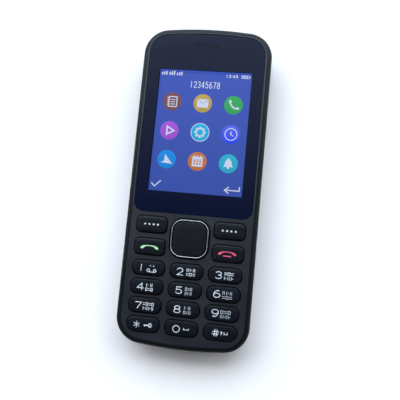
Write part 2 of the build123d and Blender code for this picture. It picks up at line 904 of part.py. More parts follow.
# Shield can open towards the board, and the chips under it
with BuildPart() as shield_can:
    with BuildSketch(Plane.XY.offset(deck_top + component_gap)):
        with Locations((0, can_y)):
            Rectangle(can_width, can_length)
    extrude(amount=component_height - component_gap)
    with BuildSketch(Plane.XY.offset(deck_top + component_gap + can_wall)):
        with Locations((0, can_y)):
            Rectangle(can_width - 2 * can_wall, can_length - 2 * can_wall)
    extrude(amount=component_height - component_gap - can_wall, mode=Mode.SUBTRACT)
save(shield_can, "shield_can")

with BuildPart() as board_chips:
    chip_left = -(processor_size + memory_width + radio_size) / 2 - chip_gap
    with BuildSketch(Plane.XY.offset(board_back - chip_height)):
        for width, length in (
            (processor_size, processor_size),
            (memory_width, memory_length),
            (radio_size, radio_size),
        ):
            with Locations((chip_left, can_y)):
                Rectangle(width, length, align=(Align.MIN, Align.CENTER))
            chip_left += width + chip_gap
    extrude(amount=chip_height)
save(board_chips, "board_chips")


def card_socket(x, y, width, length, slot):
    """A card socket on the board, whose slot opens towards the lower end."""
    with BuildPart() as socket:
        with BuildSketch(Plane.XY.offset(bay_floor + component_gap)):
            with Locations((x, y)):
                Rectangle(width, length)
        extrude(amount=board_back - bay_floor - component_gap)
        with BuildSketch(Plane.XY.offset(bay_floor + component_gap + socket_wall)):
            with Locations((x, y - socket_stop)):
                Rectangle(width - 2 * socket_wall, length)
        extrude(amount=slot, mode=Mode.SUBTRACT)
    return socket


save(card_socket(sim_x, sim_y, sim_width, sim_length, sim_slot), "sim_socket")
save(card_socket(card_x, card_y, card_width, card_length, card_slot), "memory_card_socket")

# Contact block behind the bay's end wall, and its three contact pins
with BuildPart() as battery_connector:
    with BuildSketch(Plane.XY.offset(cavity_back + component_gap)):
        with Locations((0, connector_back)):
            Rectangle(connector_width, connector_length, align=(Align.CENTER, Align.MIN))
    extrude(amount=board_back - cavity_back - component_gap)
save(battery_connector, "battery_connector")

with BuildPart() as battery_contacts:
    with BuildSketch(Plane.XZ.offset(-connector_back)):
        with Locations((0, contact_z)):
            with GridLocations(contact_pitch, 0, contact_count, 1):
                Rectangle(contact_width, contact_height)
    extrude(amount=bay_gap + component_gap - contact_gap)
save(battery_contacts, "battery_contacts")

# Battery with rounded sides, and the contact pads let into its upper end
with BuildPart() as battery:
    with BuildSketch(Plane.XZ.offset(-battery_end)):
        with Locations((0, contact_z)):
            RectangleRounded(battery_width, battery_thickness, battery_side_radius)
    extrude(amount=battery_length)
    with BuildSketch(Plane.XZ.offset(-battery_end)):
        with Locations((0, contact_z)):
            with GridLocations(contact_pitch, 0, contact_count, 1):
                Rectangle(terminal_width, terminal_height)
    extrude(amount=terminal_thickness, mode=Mode.SUBTRACT)
save(battery, "battery")

with BuildPart() as battery_terminals:
    with BuildSketch(Plane.XZ.offset(-battery_end)):
        with Locations((0, contact_z)):
            with GridLocations(contact_pitch, 0, contact_count, 1):
                Rectangle(terminal_width, terminal_height)
    extrude(amount=terminal_thickness)
save(battery_terminals, "battery_terminals")

# Audio jack with its round nose and bore
with BuildPart() as audio_jack:
    with BuildSketch(Plane.XZ.offset(-jack_front)):
        with Locations((jack_x, jack_z)):
            RectangleRounded(jack_width, jack_height, jack_corner)
    extrude(amount=jack_front - (jack_mouth - jack_length))
    with BuildSketch(Plane.XZ.offset(-jack_mouth)):
        with Locations((jack_x, jack_z)):
            Circle(jack_nose_radius)
    extrude(amount=jack_mouth - jack_front)
    with BuildSketch(Plane.XZ.offset(-jack_mouth)):
        with Locations((jack_x, jack_z)):
            Circle(jack_bore_radius)
    extrude(amount=jack_bore_length, mode=Mode.SUBTRACT)
save(audio_jack, "audio_jack")

# Charging connector: a thin shell with a tongue
with BuildPart() as usb_connector:
    with BuildSketch(Plane.XZ.offset(-usb_mouth)):
        with Locations((usb_x, usb_z)):
            RectangleRounded(usb_width, usb_height, usb_corner)
    extrude(amount=usb_length)
    with BuildSketch(Plane.XZ.offset(-usb_mouth)):
        with Locations((usb_x, usb_z)):
            RectangleRounded(usb_width - 2 * usb_wall, usb_height - 2 * usb_wall, usb_corner - usb_wall)
    extrude(amount=usb_length - usb_wall, mode=Mode.SUBTRACT)
    with BuildSketch(Plane.XZ.offset(usb_length - usb_mouth)):
        with Locations((usb_x, usb_z)):
            Rectangle(usb_tongue_width, usb_tongue_height)
    extrude(amount=-usb_tongue_length)
save(usb_connector, "usb_connector")

# Loudspeaker behind its slots
with BuildPart() as loudspeaker:
    with BuildSketch(Plane.XY.offset(cavity_back)):
        with Locations((speaker_side, speaker_y)):
            RectangleRounded(speaker_width, speaker_length, speaker_corner)
    extrude(amount=speaker_height)
save(loudspeaker, "loudspeaker")

# Vibration motor lying along X, and the half-round weight on its shaft
with BuildPart() as vibration_motor:
    with BuildSketch(Plane.YZ.offset(motor_side)):
        with Locations((motor_y, motor_z)):
            Circle(motor_radius)
    extrude(amount=motor_length)
    with BuildSketch(Plane.YZ.offset(motor_side + motor_length)):
        with Locations((motor_y, motor_z)):
            Circle(motor_shaft_radius + motor_shaft_fit)
    extrude(amount=-motor_shaft_seat - motor_shaft_fit, mode=Mode.SUBTRACT)
save(vibration_motor, "vibration_motor")

with BuildPart() as motor_weight:
    with BuildSketch(Plane.YZ.offset(weight_start)):
        with Locations((motor_y, motor_z)):
            Circle(weight_radius)
            Rectangle(
                2 * weight_radius,
                weight_radius,
                align=(Align.CENTER, Align.MIN),
                mode=Mode.SUBTRACT,
            )
            Circle(weight_hub_radius)
    extrude(amount=weight_length)
    with BuildSketch(Plane.YZ.offset(weight_start)):
        with Locations((motor_y, motor_z)):
            Circle(motor_shaft_radius)
    extrude(amount=-motor_shaft_gap - motor_shaft_seat)
save(motor_weight, "motor_weight")

# Camera on the board, looking out through its window in the frame's rim
with BuildPart() as camera_module:
    with BuildSketch(Plane.XY.offset(board_back)):
        with Locations((0, camera_y)):
            Rectangle(camera_size, camera_size)
    extrude(amount=-camera_base_height)
    with BuildSketch(Plane.XY.offset(board_back)):
        with Locations((0, camera_y)):
            Circle(camera_barrel_radius)
    extrude(amount=-(board_back - camera_back - camera_window_thickness - camera_gap))
    with BuildSketch(Plane.XY.offset(camera_back + camera_window_thickness + camera_gap)):
        with Locations((0, camera_y)):
            Circle(camera_pupil_radius)
    extrude(amount=camera_window_thickness, mode=Mode.SUBTRACT)
save(camera_module, "camera_module")

with BuildPart() as camera_window:
    with BuildSketch(Plane.XY.offset(camera_back)):
        with Locations((0, camera_y)):
            Circle(camera_window_radius)
    extrude(amount=camera_window_thickness)
save(camera_window, "camera_window")

# Torch lamp with its light guide to the back
with BuildPart() as torch_led:
    with BuildSketch(Plane.XY.offset(board_back)):
        with Locations((torch_side, camera_y)):
            Rectangle(torch_base, torch_base)
    extrude(amount=-torch_base_height)
    with BuildSketch(Plane.XY.offset(board_back)):
        with Locations((torch_side, camera_y)):
            Circle(torch_lens_radius)
    extrude(amount=torch_sink - board_back)
save(torch_led, "torch_led")

# Microphone on the board
with BuildPart() as microphone:
    with BuildSketch(Plane.XY.offset(board_back)):
        with Locations((0, mic_y)):
            Circle(mic_radius)
    extrude(amount=-mic_height)
save(microphone, "microphone")

# Antenna carrier on the frame's rear wall
with BuildPart() as antenna:
    with BuildSketch(Plane.XY.offset(cavity_back)):
        with Locations((0, antenna_y)):
            Rectangle(antenna_width, antenna_length)
    extrude(amount=antenna_height)
save(antenna, "antenna")

# Housing screws, from the frame's counterbores through the board into the housing's bosses
with BuildPart() as housing_screws:
    screw_seat = frame_back + screw_counterbore
    with BuildSketch(Plane.XY.offset(screw_seat)):
        with Locations(*screw_places):
            Circle(screw_head_radius)
    extrude(amount=-screw_head_height)
    with BuildSketch(Plane.XY.offset(screw_seat)):
        with Locations(*screw_places):
            Circle(screw_radius)
    extrude(amount=board_front + screw_bite - screw_seat)
save(housing_screws, "housing_screws")
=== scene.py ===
import math

import bpy
from mathutils import Matrix, Vector
from mathutils.geometry import tessellate_polygon


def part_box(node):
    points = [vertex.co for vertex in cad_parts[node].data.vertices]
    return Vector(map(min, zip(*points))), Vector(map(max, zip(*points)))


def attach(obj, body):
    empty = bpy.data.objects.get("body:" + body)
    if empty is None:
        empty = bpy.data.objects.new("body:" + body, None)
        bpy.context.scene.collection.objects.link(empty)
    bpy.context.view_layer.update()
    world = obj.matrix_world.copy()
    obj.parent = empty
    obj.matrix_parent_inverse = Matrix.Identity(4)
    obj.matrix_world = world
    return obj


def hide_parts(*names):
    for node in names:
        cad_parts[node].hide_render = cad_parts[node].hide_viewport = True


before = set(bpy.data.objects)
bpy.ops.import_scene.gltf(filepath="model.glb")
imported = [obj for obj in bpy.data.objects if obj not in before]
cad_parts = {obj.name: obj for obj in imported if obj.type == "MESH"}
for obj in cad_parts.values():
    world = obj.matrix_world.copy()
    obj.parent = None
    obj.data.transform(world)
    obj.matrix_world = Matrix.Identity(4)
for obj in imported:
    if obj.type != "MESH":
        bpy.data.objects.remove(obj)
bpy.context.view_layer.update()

# Lengths below are in millimetres, in the frame's axes, and become metres where a mesh is made.
MM = 0.001


class Extent:
    """A CAD node's box in millimetres: its middle, half its width and length, and its two levels."""

    def __init__(self, node):
        low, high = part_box(node)
        self.x, self.y = (low[0] + high[0]) / 2 / MM, (low[1] + high[1]) / 2 / MM
        self.half_x, self.half_y = (high[0] - low[0]) / 2 / MM, (high[1] - low[1]) / 2 / MM
        self.back, self.front = low[2] / MM, high[2] / MM


rocker_box = Extent("nav_rocker")
ring_box = Extent("nav_trim_ring")
pad_box = Extent("nav_centre_key")
panel_box = Extent("lcd_panel")
window_box = Extent("display_window")

# The lit area of the display, inside the panel's dark margins
PANEL_SIDE, PANEL_HEAD, PANEL_FOOT = 2.74, 2.8, 5.6
SCREEN_Y = panel_box.y + (PANEL_FOOT - PANEL_HEAD) / 2
SCREEN_HALF_X = panel_box.half_x - PANEL_SIDE
SCREEN_HALF_Y = panel_box.half_y - (PANEL_HEAD + PANEL_FOOT) / 2

GLASS_INDEX = 1.5


# Materials

class Tree:
    """The nodes of a material or of the world, made in turn."""

    def __init__(self, owner):
        owner.use_nodes = True
        self.owner = owner
        self.nodes = owner.node_tree.nodes
        self.links = owner.node_tree.links
        self.nodes.clear()

    def add(self, kind, values=None, **settings):
        """A node with its settings. An input's value is a constant or another node's output."""
        node = self.nodes.new(f"ShaderNode{kind}")
        for key, value in settings.items():
            setattr(node, key, value)
        for key, value in (values or {}).items():
            if isinstance(value, bpy.types.NodeSocket):
                self.links.new(value, node.inputs[key])
            else:
                node.inputs[key].default_value = value
        return node

    def place(self, scale=(1, 1, 1)):
        """The point on the piece in millimetres, stretched by scale."""
        where = self.add("TexCoord").outputs["Object"]
        mapped = self.add("Mapping", {"Vector": where})
        mapped.inputs["Scale"].default_value = [s / MM for s in scale]
        return mapped.outputs["Vector"]

    def noise(self, place, size, detail=3.0, roughness=0.55):
        """Noise whose features are about size millimetres wide."""
        values = {"Vector": place, "Scale": 1 / size, "Detail": detail, "Roughness": roughness}
        return self.add("TexNoise", values).outputs["Fac"]

    def ramp(self, value, low, high, start=0.35, end=0.65):
        """Map the range start to end onto low to high."""
        values = {"Value": value, "From Min": start, "From Max": end, "To Min": low, "To Max": high}
        return self.add("MapRange", values).outputs["Result"]

    def blend(self, factor, first, second):
        """A colour between first and second."""
        values = {0: factor}
        for socket, end in ((6, first), (7, second)):
            values[socket] = end if isinstance(end, bpy.types.NodeSocket) else (*end, 1)
        return self.add("Mix", values, data_type="RGBA").outputs[2]

    def maths(self, operation, first, second=0.0):
        return self.add("Math", {0: first, 1: second}, operation=operation).outputs[0]

    def coordinate(self, axis):
        """The point's X, Y or Z in millimetres."""
        return self.add("SeparateXYZ", {"Vector": self.place()}).outputs[axis]

    def bump(self, height, strength, distance=0.02):
        """A bumpy normal, from a height and its size in millimetres."""
        values = {"Height": height, "Strength": strength, "Distance": distance * MM}
        return self.add("Bump", values).outputs["Normal"]

    def dust(self):
        """Streaks of haze on glass."""
        return self.noise(self.place(), 2.5, detail=6.0, roughness=0.7)

    def mix(self, factor, first, second):
        """A shader between those of two nodes."""
        values = {0: factor, 1: first.outputs[0], 2: second.outputs[0]}
        return self.add("MixShader", values).outputs[0]

    def finish(self, shader, output="OutputMaterial"):
        self.add(output, {"Surface": shader})
        return self.owner

    def surface(self, values):
        """Finish with a Principled shader of these values."""
        return self.finish(self.add("BsdfPrincipled", values).outputs[0])


def new_tree(name):
    return Tree(bpy.data.materials.new(name))


def moulded(name, colour, worn, rough, grain=0.12, relief=0.2, cloud=9.0, stretch=(1, 1, 1)):
    """A solid finish: two colours clouded together, fine grain in the bump, and uneven gloss."""
    tree = new_tree(name)
    place = tree.place(stretch)
    cloud_noise = tree.noise(place, cloud, detail=5.0)
    grain_noise = tree.noise(place, grain, detail=2.0)
    smear = tree.noise(tree.place((0.35, 1, 1)), cloud / 3, detail=6.0, roughness=0.65)
    mixed = tree.blend(tree.ramp(cloud_noise, 0, 1), colour, worn)
    values = {
        "Base Color": tree.blend(tree.ramp(grain_noise, 0, 0.35, start=0.55, end=0.75), mixed, worn),
        "Roughness": tree.ramp(smear, *rough),
        "Normal": tree.bump(grain_noise, relief),
    }
    return tree.surface({**values, **CONSTANTS.get(name, {})})


def clear(name, tint, haze):
    """The display's window. Its gloss is in the print and the display, which are seen through it."""
    tree = new_tree(name)
    colour = tree.blend(tree.ramp(tree.dust(), 0, 1), tint, haze)
    return tree.finish(tree.add("BsdfTransparent", {"Color": colour}).outputs[0])


def glass(name, tint, rough):
    """A clear sheet: seen through, with its reflection on top."""
    tree = new_tree(name)
    roughness = tree.ramp(tree.dust(), *rough)
    through = tree.add("BsdfTransparent", {"Color": (*tint, 1)})
    gloss = tree.add("BsdfGlossy", {"Color": (1, 1, 1, 1), "Roughness": roughness})
    edge = tree.add("Fresnel", {"IOR": GLASS_INDEX})
    front = tree.maths("SUBTRACT", 1.0, tree.add("NewGeometry").outputs["Backfacing"])
    share = tree.maths("MULTIPLY", edge.outputs[0], front)
    return tree.finish(tree.mix(share, through, gloss))


def darker(colour):
    return tuple(0.8 * c for c in colour)


def lit(name, colour, low=None, middle=SCREEN_Y, reach=SCREEN_HALF_Y):
    """A glowing area of the display, from colour at its head to low at its foot."""
    tree = new_tree(name)
    fade = tree.ramp(tree.coordinate("Y"), 0, 1, middle - reach, middle + reach)
    shade = tree.blend(fade, low or colour, colour)
    cloud = tree.ramp(tree.noise(tree.place(), 11.0), 0, 0.16)
    values = {
        "Base Color": (0.002, 0.002, 0.003, 1),
        "Roughness": tree.ramp(tree.dust(), 0.05, 0.08),
        "IOR": GLASS_INDEX,
        "Emission Color": tree.blend(cloud, shade, darker(colour)),
        "Emission Strength": 1.0,
    }
    return tree.surface(values)


def woven(name):
    """Fine cloth with threads both ways."""
    tree = new_tree(name)
    wave = {"Vector": tree.place(), "Scale": 1.3, "Distortion": 0.2}
    waves = [tree.add("TexWave", wave, bands_direction=axis).outputs["Fac"] for axis in "XY"]
    threads = tree.maths("MAXIMUM", *waves)
    values = {
        "Base Color": tree.blend(threads, (0.001, 0.002, 0.007), (0.005, 0.0068, 0.0145)),
        "Roughness": 0.7,
        "Specular IOR Level": 0.3,
        "Normal": tree.bump(threads, 0.8, 0.05),
    }
    return tree.surface(values)


def board(name, mask, copper, pitch):
    """A printed circuit: a coloured film with tracks under it and small round pads."""
    tree = new_tree(name)
    place = tree.place()
    brick = {"Scale": 1 / pitch, "Mortar Size": 0.09, "Brick Width": 4.0, "Row Height": 0.5}
    track = tree.add("TexBrick", {"Vector": place, **brick}).outputs["Fac"]
    cells = tree.add("TexVoronoi", {"Vector": place, "Scale": 0.55})
    pads = tree.ramp(cells.outputs["Distance"], 1, 0, start=0.12, end=0.16)
    tracks = tree.blend(track, mask, tuple(1.6 * c + 0.01 for c in mask))
    values = {
        "Base Color": tree.blend(pads, tracks, copper),
        "Metallic": pads,
        "Roughness": tree.ramp(tree.noise(place, 3.0), 0.28, 0.42),
        "Normal": tree.bump(track, 0.4, 0.03),
    }
    return tree.surface(values)


def banded(name, colour, band, low, high):
    """A wrapped cell: printed film with a plain lighter band across it, between two levels of Y."""
    tree = new_tree(name)
    y = tree.coordinate("Y")
    above, below = tree.maths("GREATER_THAN", y, low), tree.maths("LESS_THAN", y, high)
    printed = tree.blend(tree.maths("MULTIPLY", above, below), colour, band)
    specks = tree.ramp(tree.noise(tree.place(), 0.3), 0, 0.25)
    creases = tree.noise(tree.place((1, 0.25, 1)), 2.0, detail=6.0)
    values = {
        "Base Color": tree.blend(specks, printed, (0.3, 0.3, 0.3)),
        "Roughness": tree.ramp(creases, 0.28, 0.45),
        "Normal": tree.bump(creases, 0.15, 0.08),
    }
    return tree.surface(values)


def domed(name):
    """Clear film with steel domes standing on it."""
    tree = new_tree(name)
    film_front, edge = Extent("dome_sheet").front, 0.03
    steel = tree.ramp(tree.coordinate("Z"), 0, 1, film_front - edge, film_front + edge)
    haze = tree.noise(tree.place(), 1.5, detail=5.0)
    film = tree.blend(tree.ramp(haze, 0, 1), (0.55, 0.56, 0.58), (0.68, 0.69, 0.7))
    values = {
        "Base Color": tree.blend(steel, film, (0.62, 0.62, 0.6)),
        "Metallic": steel,
        "Roughness": tree.ramp(haze, 0.2, 0.4),
        "Normal": tree.bump(haze, 0.1),
    }
    return tree.surface(values)


# The inks on the keys share all but their colours.
INK = ((0.4, 0.55), 0.08, 0.1, 1.2)
# Solid finishes: two colours, a range of roughness, the grain's size and relief, the clouds' size and
# stretch. The keys' sides are duller than their tops, and darker with painted shade for their gaps.
# The black border stands for print behind the glass, so it has the glass's gloss.
SOLIDS = {
    "front_paint": ((0.0075, 0.0086, 0.0122), (0.0106, 0.012, 0.0165), (0.36, 0.44), 0.1, 0.28, 14.0),
    # The lip is lighter than the face: a painted highlight along the window's edges.
    "lip_painted_highlight": ((0.016, 0.0185, 0.0285), (0.019, 0.022, 0.033), (0.32, 0.4), 0.1, 0.2, 14.0),
    "frame_plastic": ((0.0026, 0.0027, 0.0033), (0.004, 0.0042, 0.005), (0.38, 0.48), 0.15, 0.22),
    "cover_plastic": ((0.0035, 0.0035, 0.0041), (0.0056, 0.0056, 0.0064), (0.42, 0.56), 0.3, 0.55),
    "panel_glass": ((0.004, 0.004, 0.006), (0.006, 0.006, 0.008), (0.12, 0.2)),
    "key_plastic": ((0.0021, 0.0027, 0.0052), (0.0033, 0.0039, 0.007), (0.32, 0.4), 0.12, 0.2, 4.0),
    "key_side": ((0.0008, 0.0009, 0.0013), (0.0014, 0.0015, 0.002), (0.5, 0.62), 0.15, 0.3, 3.0),
    "bright_trim": ((0.74, 0.73, 0.74), (0.64, 0.63, 0.64), (0.28, 0.38), 0.1, 0.05, 2.0),
    "silicone": ((0.34, 0.35, 0.37), (0.42, 0.43, 0.45), (0.5, 0.62), 0.2, 0.2),
    "black_tape": ((0.006, 0.006, 0.006), (0.01, 0.01, 0.01), (0.55, 0.7), 0.08),
    "black_foam": ((0.009, 0.009, 0.009), (0.018, 0.018, 0.018), (0.8, 0.95), 0.2, 0.9),
    "white_plastic": ((0.7, 0.71, 0.7), (0.62, 0.62, 0.6), (0.35, 0.5), 0.2, 0.1),
    "chip_resin": ((0.012, 0.012, 0.013), (0.02, 0.02, 0.021), (0.45, 0.6), 0.15, 0.4),
    "steel": ((0.56, 0.56, 0.55), (0.45, 0.45, 0.44), (0.24, 0.38), 0.2, 0.12, 5.0, (0.12, 1, 1)),
    "gold_plate": ((0.85, 0.6, 0.26), (0.7, 0.48, 0.2), (0.2, 0.32), 0.1, 0.08, 1.5),
    "sounder_plastic": ((0.02, 0.02, 0.021), (0.03, 0.03, 0.031), (0.4, 0.55), 0.2, 0.25),
    "lamp_resin": ((0.72, 0.6, 0.2), (0.8, 0.72, 0.4), (0.15, 0.3), 0.3, 0.1, 1.0),
    "border_ink": ((0.0003, 0.002, 0.0155), (0.0004, 0.0024, 0.0175), (0.05, 0.08), 0.4, 0.01),
    "white_ink": ((0.62, 0.63, 0.65), (0.52, 0.53, 0.55), *INK),
    # A darker copy of the white ink: painted shade on the small marks of some keys.
    "painted_shade_ink": ((0.4, 0.41, 0.43), (0.33, 0.34, 0.36), *INK),
    "green_ink": ((0.27, 0.6, 0.22), (0.42, 0.72, 0.38), *INK),
    "red_ink": ((0.62, 0.045, 0.1), (0.7, 0.1, 0.17), *INK),
}
CONSTANTS = {
    "frame_plastic": {"Specular IOR Level": 0.2},
    "cover_plastic": {"Specular IOR Level": 0.4},
    "key_plastic": {"Specular IOR Level": 0.3},
    "key_side": {"Specular IOR Level": 0.12},
    "bright_trim": {"Metallic": 1.0},
    "steel": {"Metallic": 1.0},
    "gold_plate": {"Metallic": 1.0},
    "border_ink": {"IOR": GLASS_INDEX},
}
BATTERY_BAND = (8.0, 13.0)
finishes = {name: moulded(name, *look) for name, look in SOLIDS.items()}
finishes.update(
    window_glass=clear("window_glass", (0.97, 0.97, 0.98), (0.955, 0.955, 0.965)),
    camera_glass=glass("camera_glass", (0.97, 0.97, 0.98), (0.12, 0.18)),
    clear_film=domed("clear_film"),
    mesh_cloth=woven("mesh_cloth"),
    amber_film=board("amber_film", (0.3, 0.1, 0.012), (0.75, 0.42, 0.2), 1.2),
    circuit_board=board("circuit_board", (0.008, 0.05, 0.03), (0.8, 0.58, 0.25), 2.2),
    battery_wrap=banded("battery_wrap", (0.045, 0.05, 0.06), (0.55, 0.56, 0.58), *BATTERY_BAND),
)

slot_nodes = {
    "front_paint": "front_housing",
    "frame_plastic": "middle_frame",
    "cover_plastic": "rear_cover",
    "window_glass": "display_window",
    "camera_glass": "camera_window",
    "panel_glass": "lcd_panel",
    "silicone": "keypad_mat",
    "clear_film": "dome_sheet",
    "black_tape": "window_tape",
    "black_foam": "lcd_gasket",
    "mesh_cloth": "earpiece_mesh",
    "white_plastic": "backlight_frame",
    "amber_film": "display_flex",
    "circuit_board": "main_board",
    "chip_resin": "board_chips battery_connector audio_jack camera_module",
    "steel": "shield_can sim_socket memory_card_socket usb_connector nav_base vibration_motor "
    "motor_weight microphone housing_screws",
    "gold_plate": "battery_contacts battery_terminals",
    "battery_wrap": "battery",
    "sounder_plastic": "earpiece_receiver loudspeaker antenna",
    "lamp_resin": "torch_led",
}
for slot_name, members in slot_nodes.items():
    for member in members.split():
        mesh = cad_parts[member].data
        if not mesh.materials:
            mesh.materials.append(finishes[slot_name])
        for index in range(len(mesh.materials)):
            mesh.materials[index] = finishes[slot_name]


# Mesh helpers

# Corners are counted from the lower right, anticlockwise.
CORNERS = ((1, -1), (1, 1), (-1, 1), (-1, -1))
SMALLEST_RADIUS = 0.02


def new_object(name, data):
    """A new object in the scene, of a mesh, lamp or camera."""
    item = bpy.data.objects.new(name, data)
    bpy.context.scene.collection.objects.link(item)
    return item


def make_piece(name, points, faces, body, slot, look=None, smooth=True, sharp=40):
    """A mesh piece on a body, from points in millimetres. Its look is its slot's, or one of its own."""
    mesh = bpy.data.meshes.new(name)
    mesh.from_pydata([Vector(p) * MM for p in points], [], faces)
    mesh.validate()
    if smooth:
        mesh.shade_smooth()
        mesh.set_sharp_from_angle(angle=math.radians(sharp))
    mesh.materials.append(finishes[look or slot])
    piece = new_object(name, mesh)
    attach(piece, body)
    return piece


def paint_side_shade(piece, level):
    """Give the faces below a level the key-side finish, whose dark colour is painted shade for the gap.
    """
    mesh = piece.data
    mesh.materials.append(finishes["key_side"])
    for face in mesh.polygons:
        if face.center.z < level * MM:
            face.material_index = 1


def arc(cx, cy, rx, ry, start, end, steps=14):
    """Points along part of an ellipse, between two angles in degrees."""
    turns = [math.radians(start + (end - start) * i / steps) for i in range(steps + 1)]
    return [(cx + rx * math.cos(t), cy + ry * math.sin(t)) for t in turns]


def oval(x, y, half_x, half_y, steps, start=0):
    """An ellipse's outline, anticlockwise from an angle in degrees."""
    return arc(x, y, half_x, half_y, start, start + 360, steps)[:-1]


def rounded(cx, cy, hx, hy, radii, steps=10):
    """A rectangle's outline with a radius for each corner."""
    loop = []
    for (sx, sy), start, radius in zip(CORNERS, (-90, 0, 90, 180), radii):
        r = max(radius, SMALLEST_RADIUS)
        loop += arc(cx + sx * (hx - r), cy + sy * (hy - r), r, r, start, start + 90, steps)
    return loop


def circle(cx, cy, radius, count):
    """A circle whose points match those of a rounded outline."""
    return oval(cx, cy, radius, radius, count, 180 / count - 90)


def skin(rings, capped_low=False, capped_high=False, closed=False):
    """Join rings of equal point counts into one surface."""
    count = len(rings[0][0])
    points = [(x, y, z) for loop, z in rings for x, y in loop]
    faces = []
    pairs = [(i, i + 1) for i in range(len(rings) - 1)]
    if closed:
        pairs.append((len(rings) - 1, 0))
    for low, high in pairs:
        for i in range(count):
            j = (i + 1) % count
            faces.append((low * count + i, low * count + j, high * count + j, high * count + i))
    if capped_low:
        faces.append(tuple(reversed(range(count))))
    if capped_high:
        faces.append(tuple(range((len(rings) - 1) * count, len(rings) * count)))
    return points, faces


def join(*parts):
    """Several (points, faces) as one."""
    points, faces = [], []
    for part_points, part_faces in parts:
        start = len(points)
        points += part_points
        faces += [tuple(start + i for i in face) for face in part_faces]
    return points, faces


def block(x, y, half_x, half_y, low, high, ease=0.08):
    """A small block about a point, with eased upper edges."""
    loops = []
    for inset in (0, ease):
        left, right = x - half_x + inset, x + half_x - inset
        near, far = y - half_y + inset, y + half_y - inset
        loops.append([(left, near), (right, near), (right, far), (left, far)])
    return skin([(loops[0], low), (loops[0], high - ease), (loops[1], high)], True, True)


# Key caps

class Cap:
    """A key cap's outline and the height of its pillowed top."""

    ease_steps, crown_steps, last_radius = 7, 5, 0.1

    def __init__(self, x, y, half_x, half_y, radii, top, ease, crown):
        self.x, self.y, self.half_x, self.half_y = x, y, half_x, half_y
        self.radii, self.top, self.ease, self.crown = radii, top, ease, crown
        self.reach = min(radii) - self.last_radius

    def loop(self, inset):
        radii = [r - inset for r in self.radii]
        return rounded(self.x, self.y, self.half_x - inset, self.half_y - inset, radii)

    def level(self, inset):
        """Height of the top at a distance in from its outline."""
        inset = min(max(inset, 0), self.reach)
        drop = self.crown * (1 - inset / self.reach) ** 2
        if inset < self.ease:
            drop += self.ease - math.sqrt(self.ease**2 - (self.ease - inset) ** 2)
        return self.top - drop

    def height(self, x, y):
        """Height of the top at a point."""
        dx, dy = x - self.x, y - self.y
        corner = (1 if dx > 0 else -1, 1 if dy > 0 else -1)
        r = self.radii[CORNERS.index(corner)]
        qx, qy = abs(dx) - self.half_x + r, abs(dy) - self.half_y + r
        outside = math.hypot(max(qx, 0), max(qy, 0)) + min(max(qx, qy), 0) - r
        return self.level(-outside)

    def top_rings(self):
        """Rings from the start of the eased edge to the flat middle."""
        turns = [math.radians(90 * i / self.ease_steps) for i in range(self.ease_steps + 1)]
        insets = [self.ease * (1 - math.cos(turn)) for turn in turns]
        last = insets[-1]
        for i in range(1, self.crown_steps + 1):
            insets.append(last + (self.reach - last) * i / self.crown_steps)
        return [(self.loop(d), self.level(d)) for d in insets]


# A key has an ear at each end, under the housing. The eased edge counts as its side
# and gets the side's painted shade.
EAR_REACH, EAR_HALF, EAR_THICKNESS = 0.5, 1.5, 0.7
KEY_EASE, KEY_CROWN = 0.48, 0.16
NUMBER_CORNER, OUTER_CORNER, FUNCTION_CORNER = 2.55, 3.45, 1.95
KEY_SHADE_DEPTH, KEY_FOOT_EASE = 0.12, 0.12

number_keys = [f"key_{sign}" for sign in (*"123456789", "star", "0", "hash")]
function_keys = ["soft_key_left", "soft_key_right", "call_key", "end_key"]
caps = {}
for name in number_keys + function_keys:
    box = Extent(name)
    radii = [NUMBER_CORNER if name in number_keys else FUNCTION_CORNER] * 4
    if name == "key_star":
        radii[3] = OUTER_CORNER
    if name == "key_hash":
        radii[0] = OUTER_CORNER
    cap = Cap(box.x, box.y, box.half_x - EAR_REACH, box.half_y, radii, box.front, KEY_EASE, KEY_CROWN)
    walls = [(cap.loop(KEY_FOOT_EASE), box.back), (cap.loop(0), box.back + KEY_FOOT_EASE)]
    shell = skin(walls + cap.top_rings(), True, True)
    ears = block(box.x, box.y, box.half_x, EAR_HALF, box.back, box.back + EAR_THICKNESS)
    piece = make_piece(f"cap_{name}", *join(shell, ears), name, "key_plastic")
    # Painted shade: the sides and eased edge take a darker colour, for the gap around the key.
    paint_side_shade(piece, box.front - KEY_SHADE_DEPTH)
    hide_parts(name)
    caps[name] = cap


# Navigation key

NAV_WING, NAV_CORNER, NAV_STEPS = 0.2, 5.0, 14
nav_y = rocker_box.y
nav_half = rocker_box.half_x - NAV_WING


def nav_loop(inset):
    """The navigation key's outline, drawn in from its aperture."""
    return rounded(0, nav_y, nav_half - inset, nav_half - inset, [NAV_CORNER - inset] * 4, NAV_STEPS)


NUB_DEPTH, NUB_HALF, NUB_REACH, NUB_OVERLAP = 0.38, 0.6, 5.5, 0.02
PLATE_THICKNESS, PLATE_HOLE, PLATE_EASE, PLATE_INSET = 0.5, 1.7, 0.1, 0.08
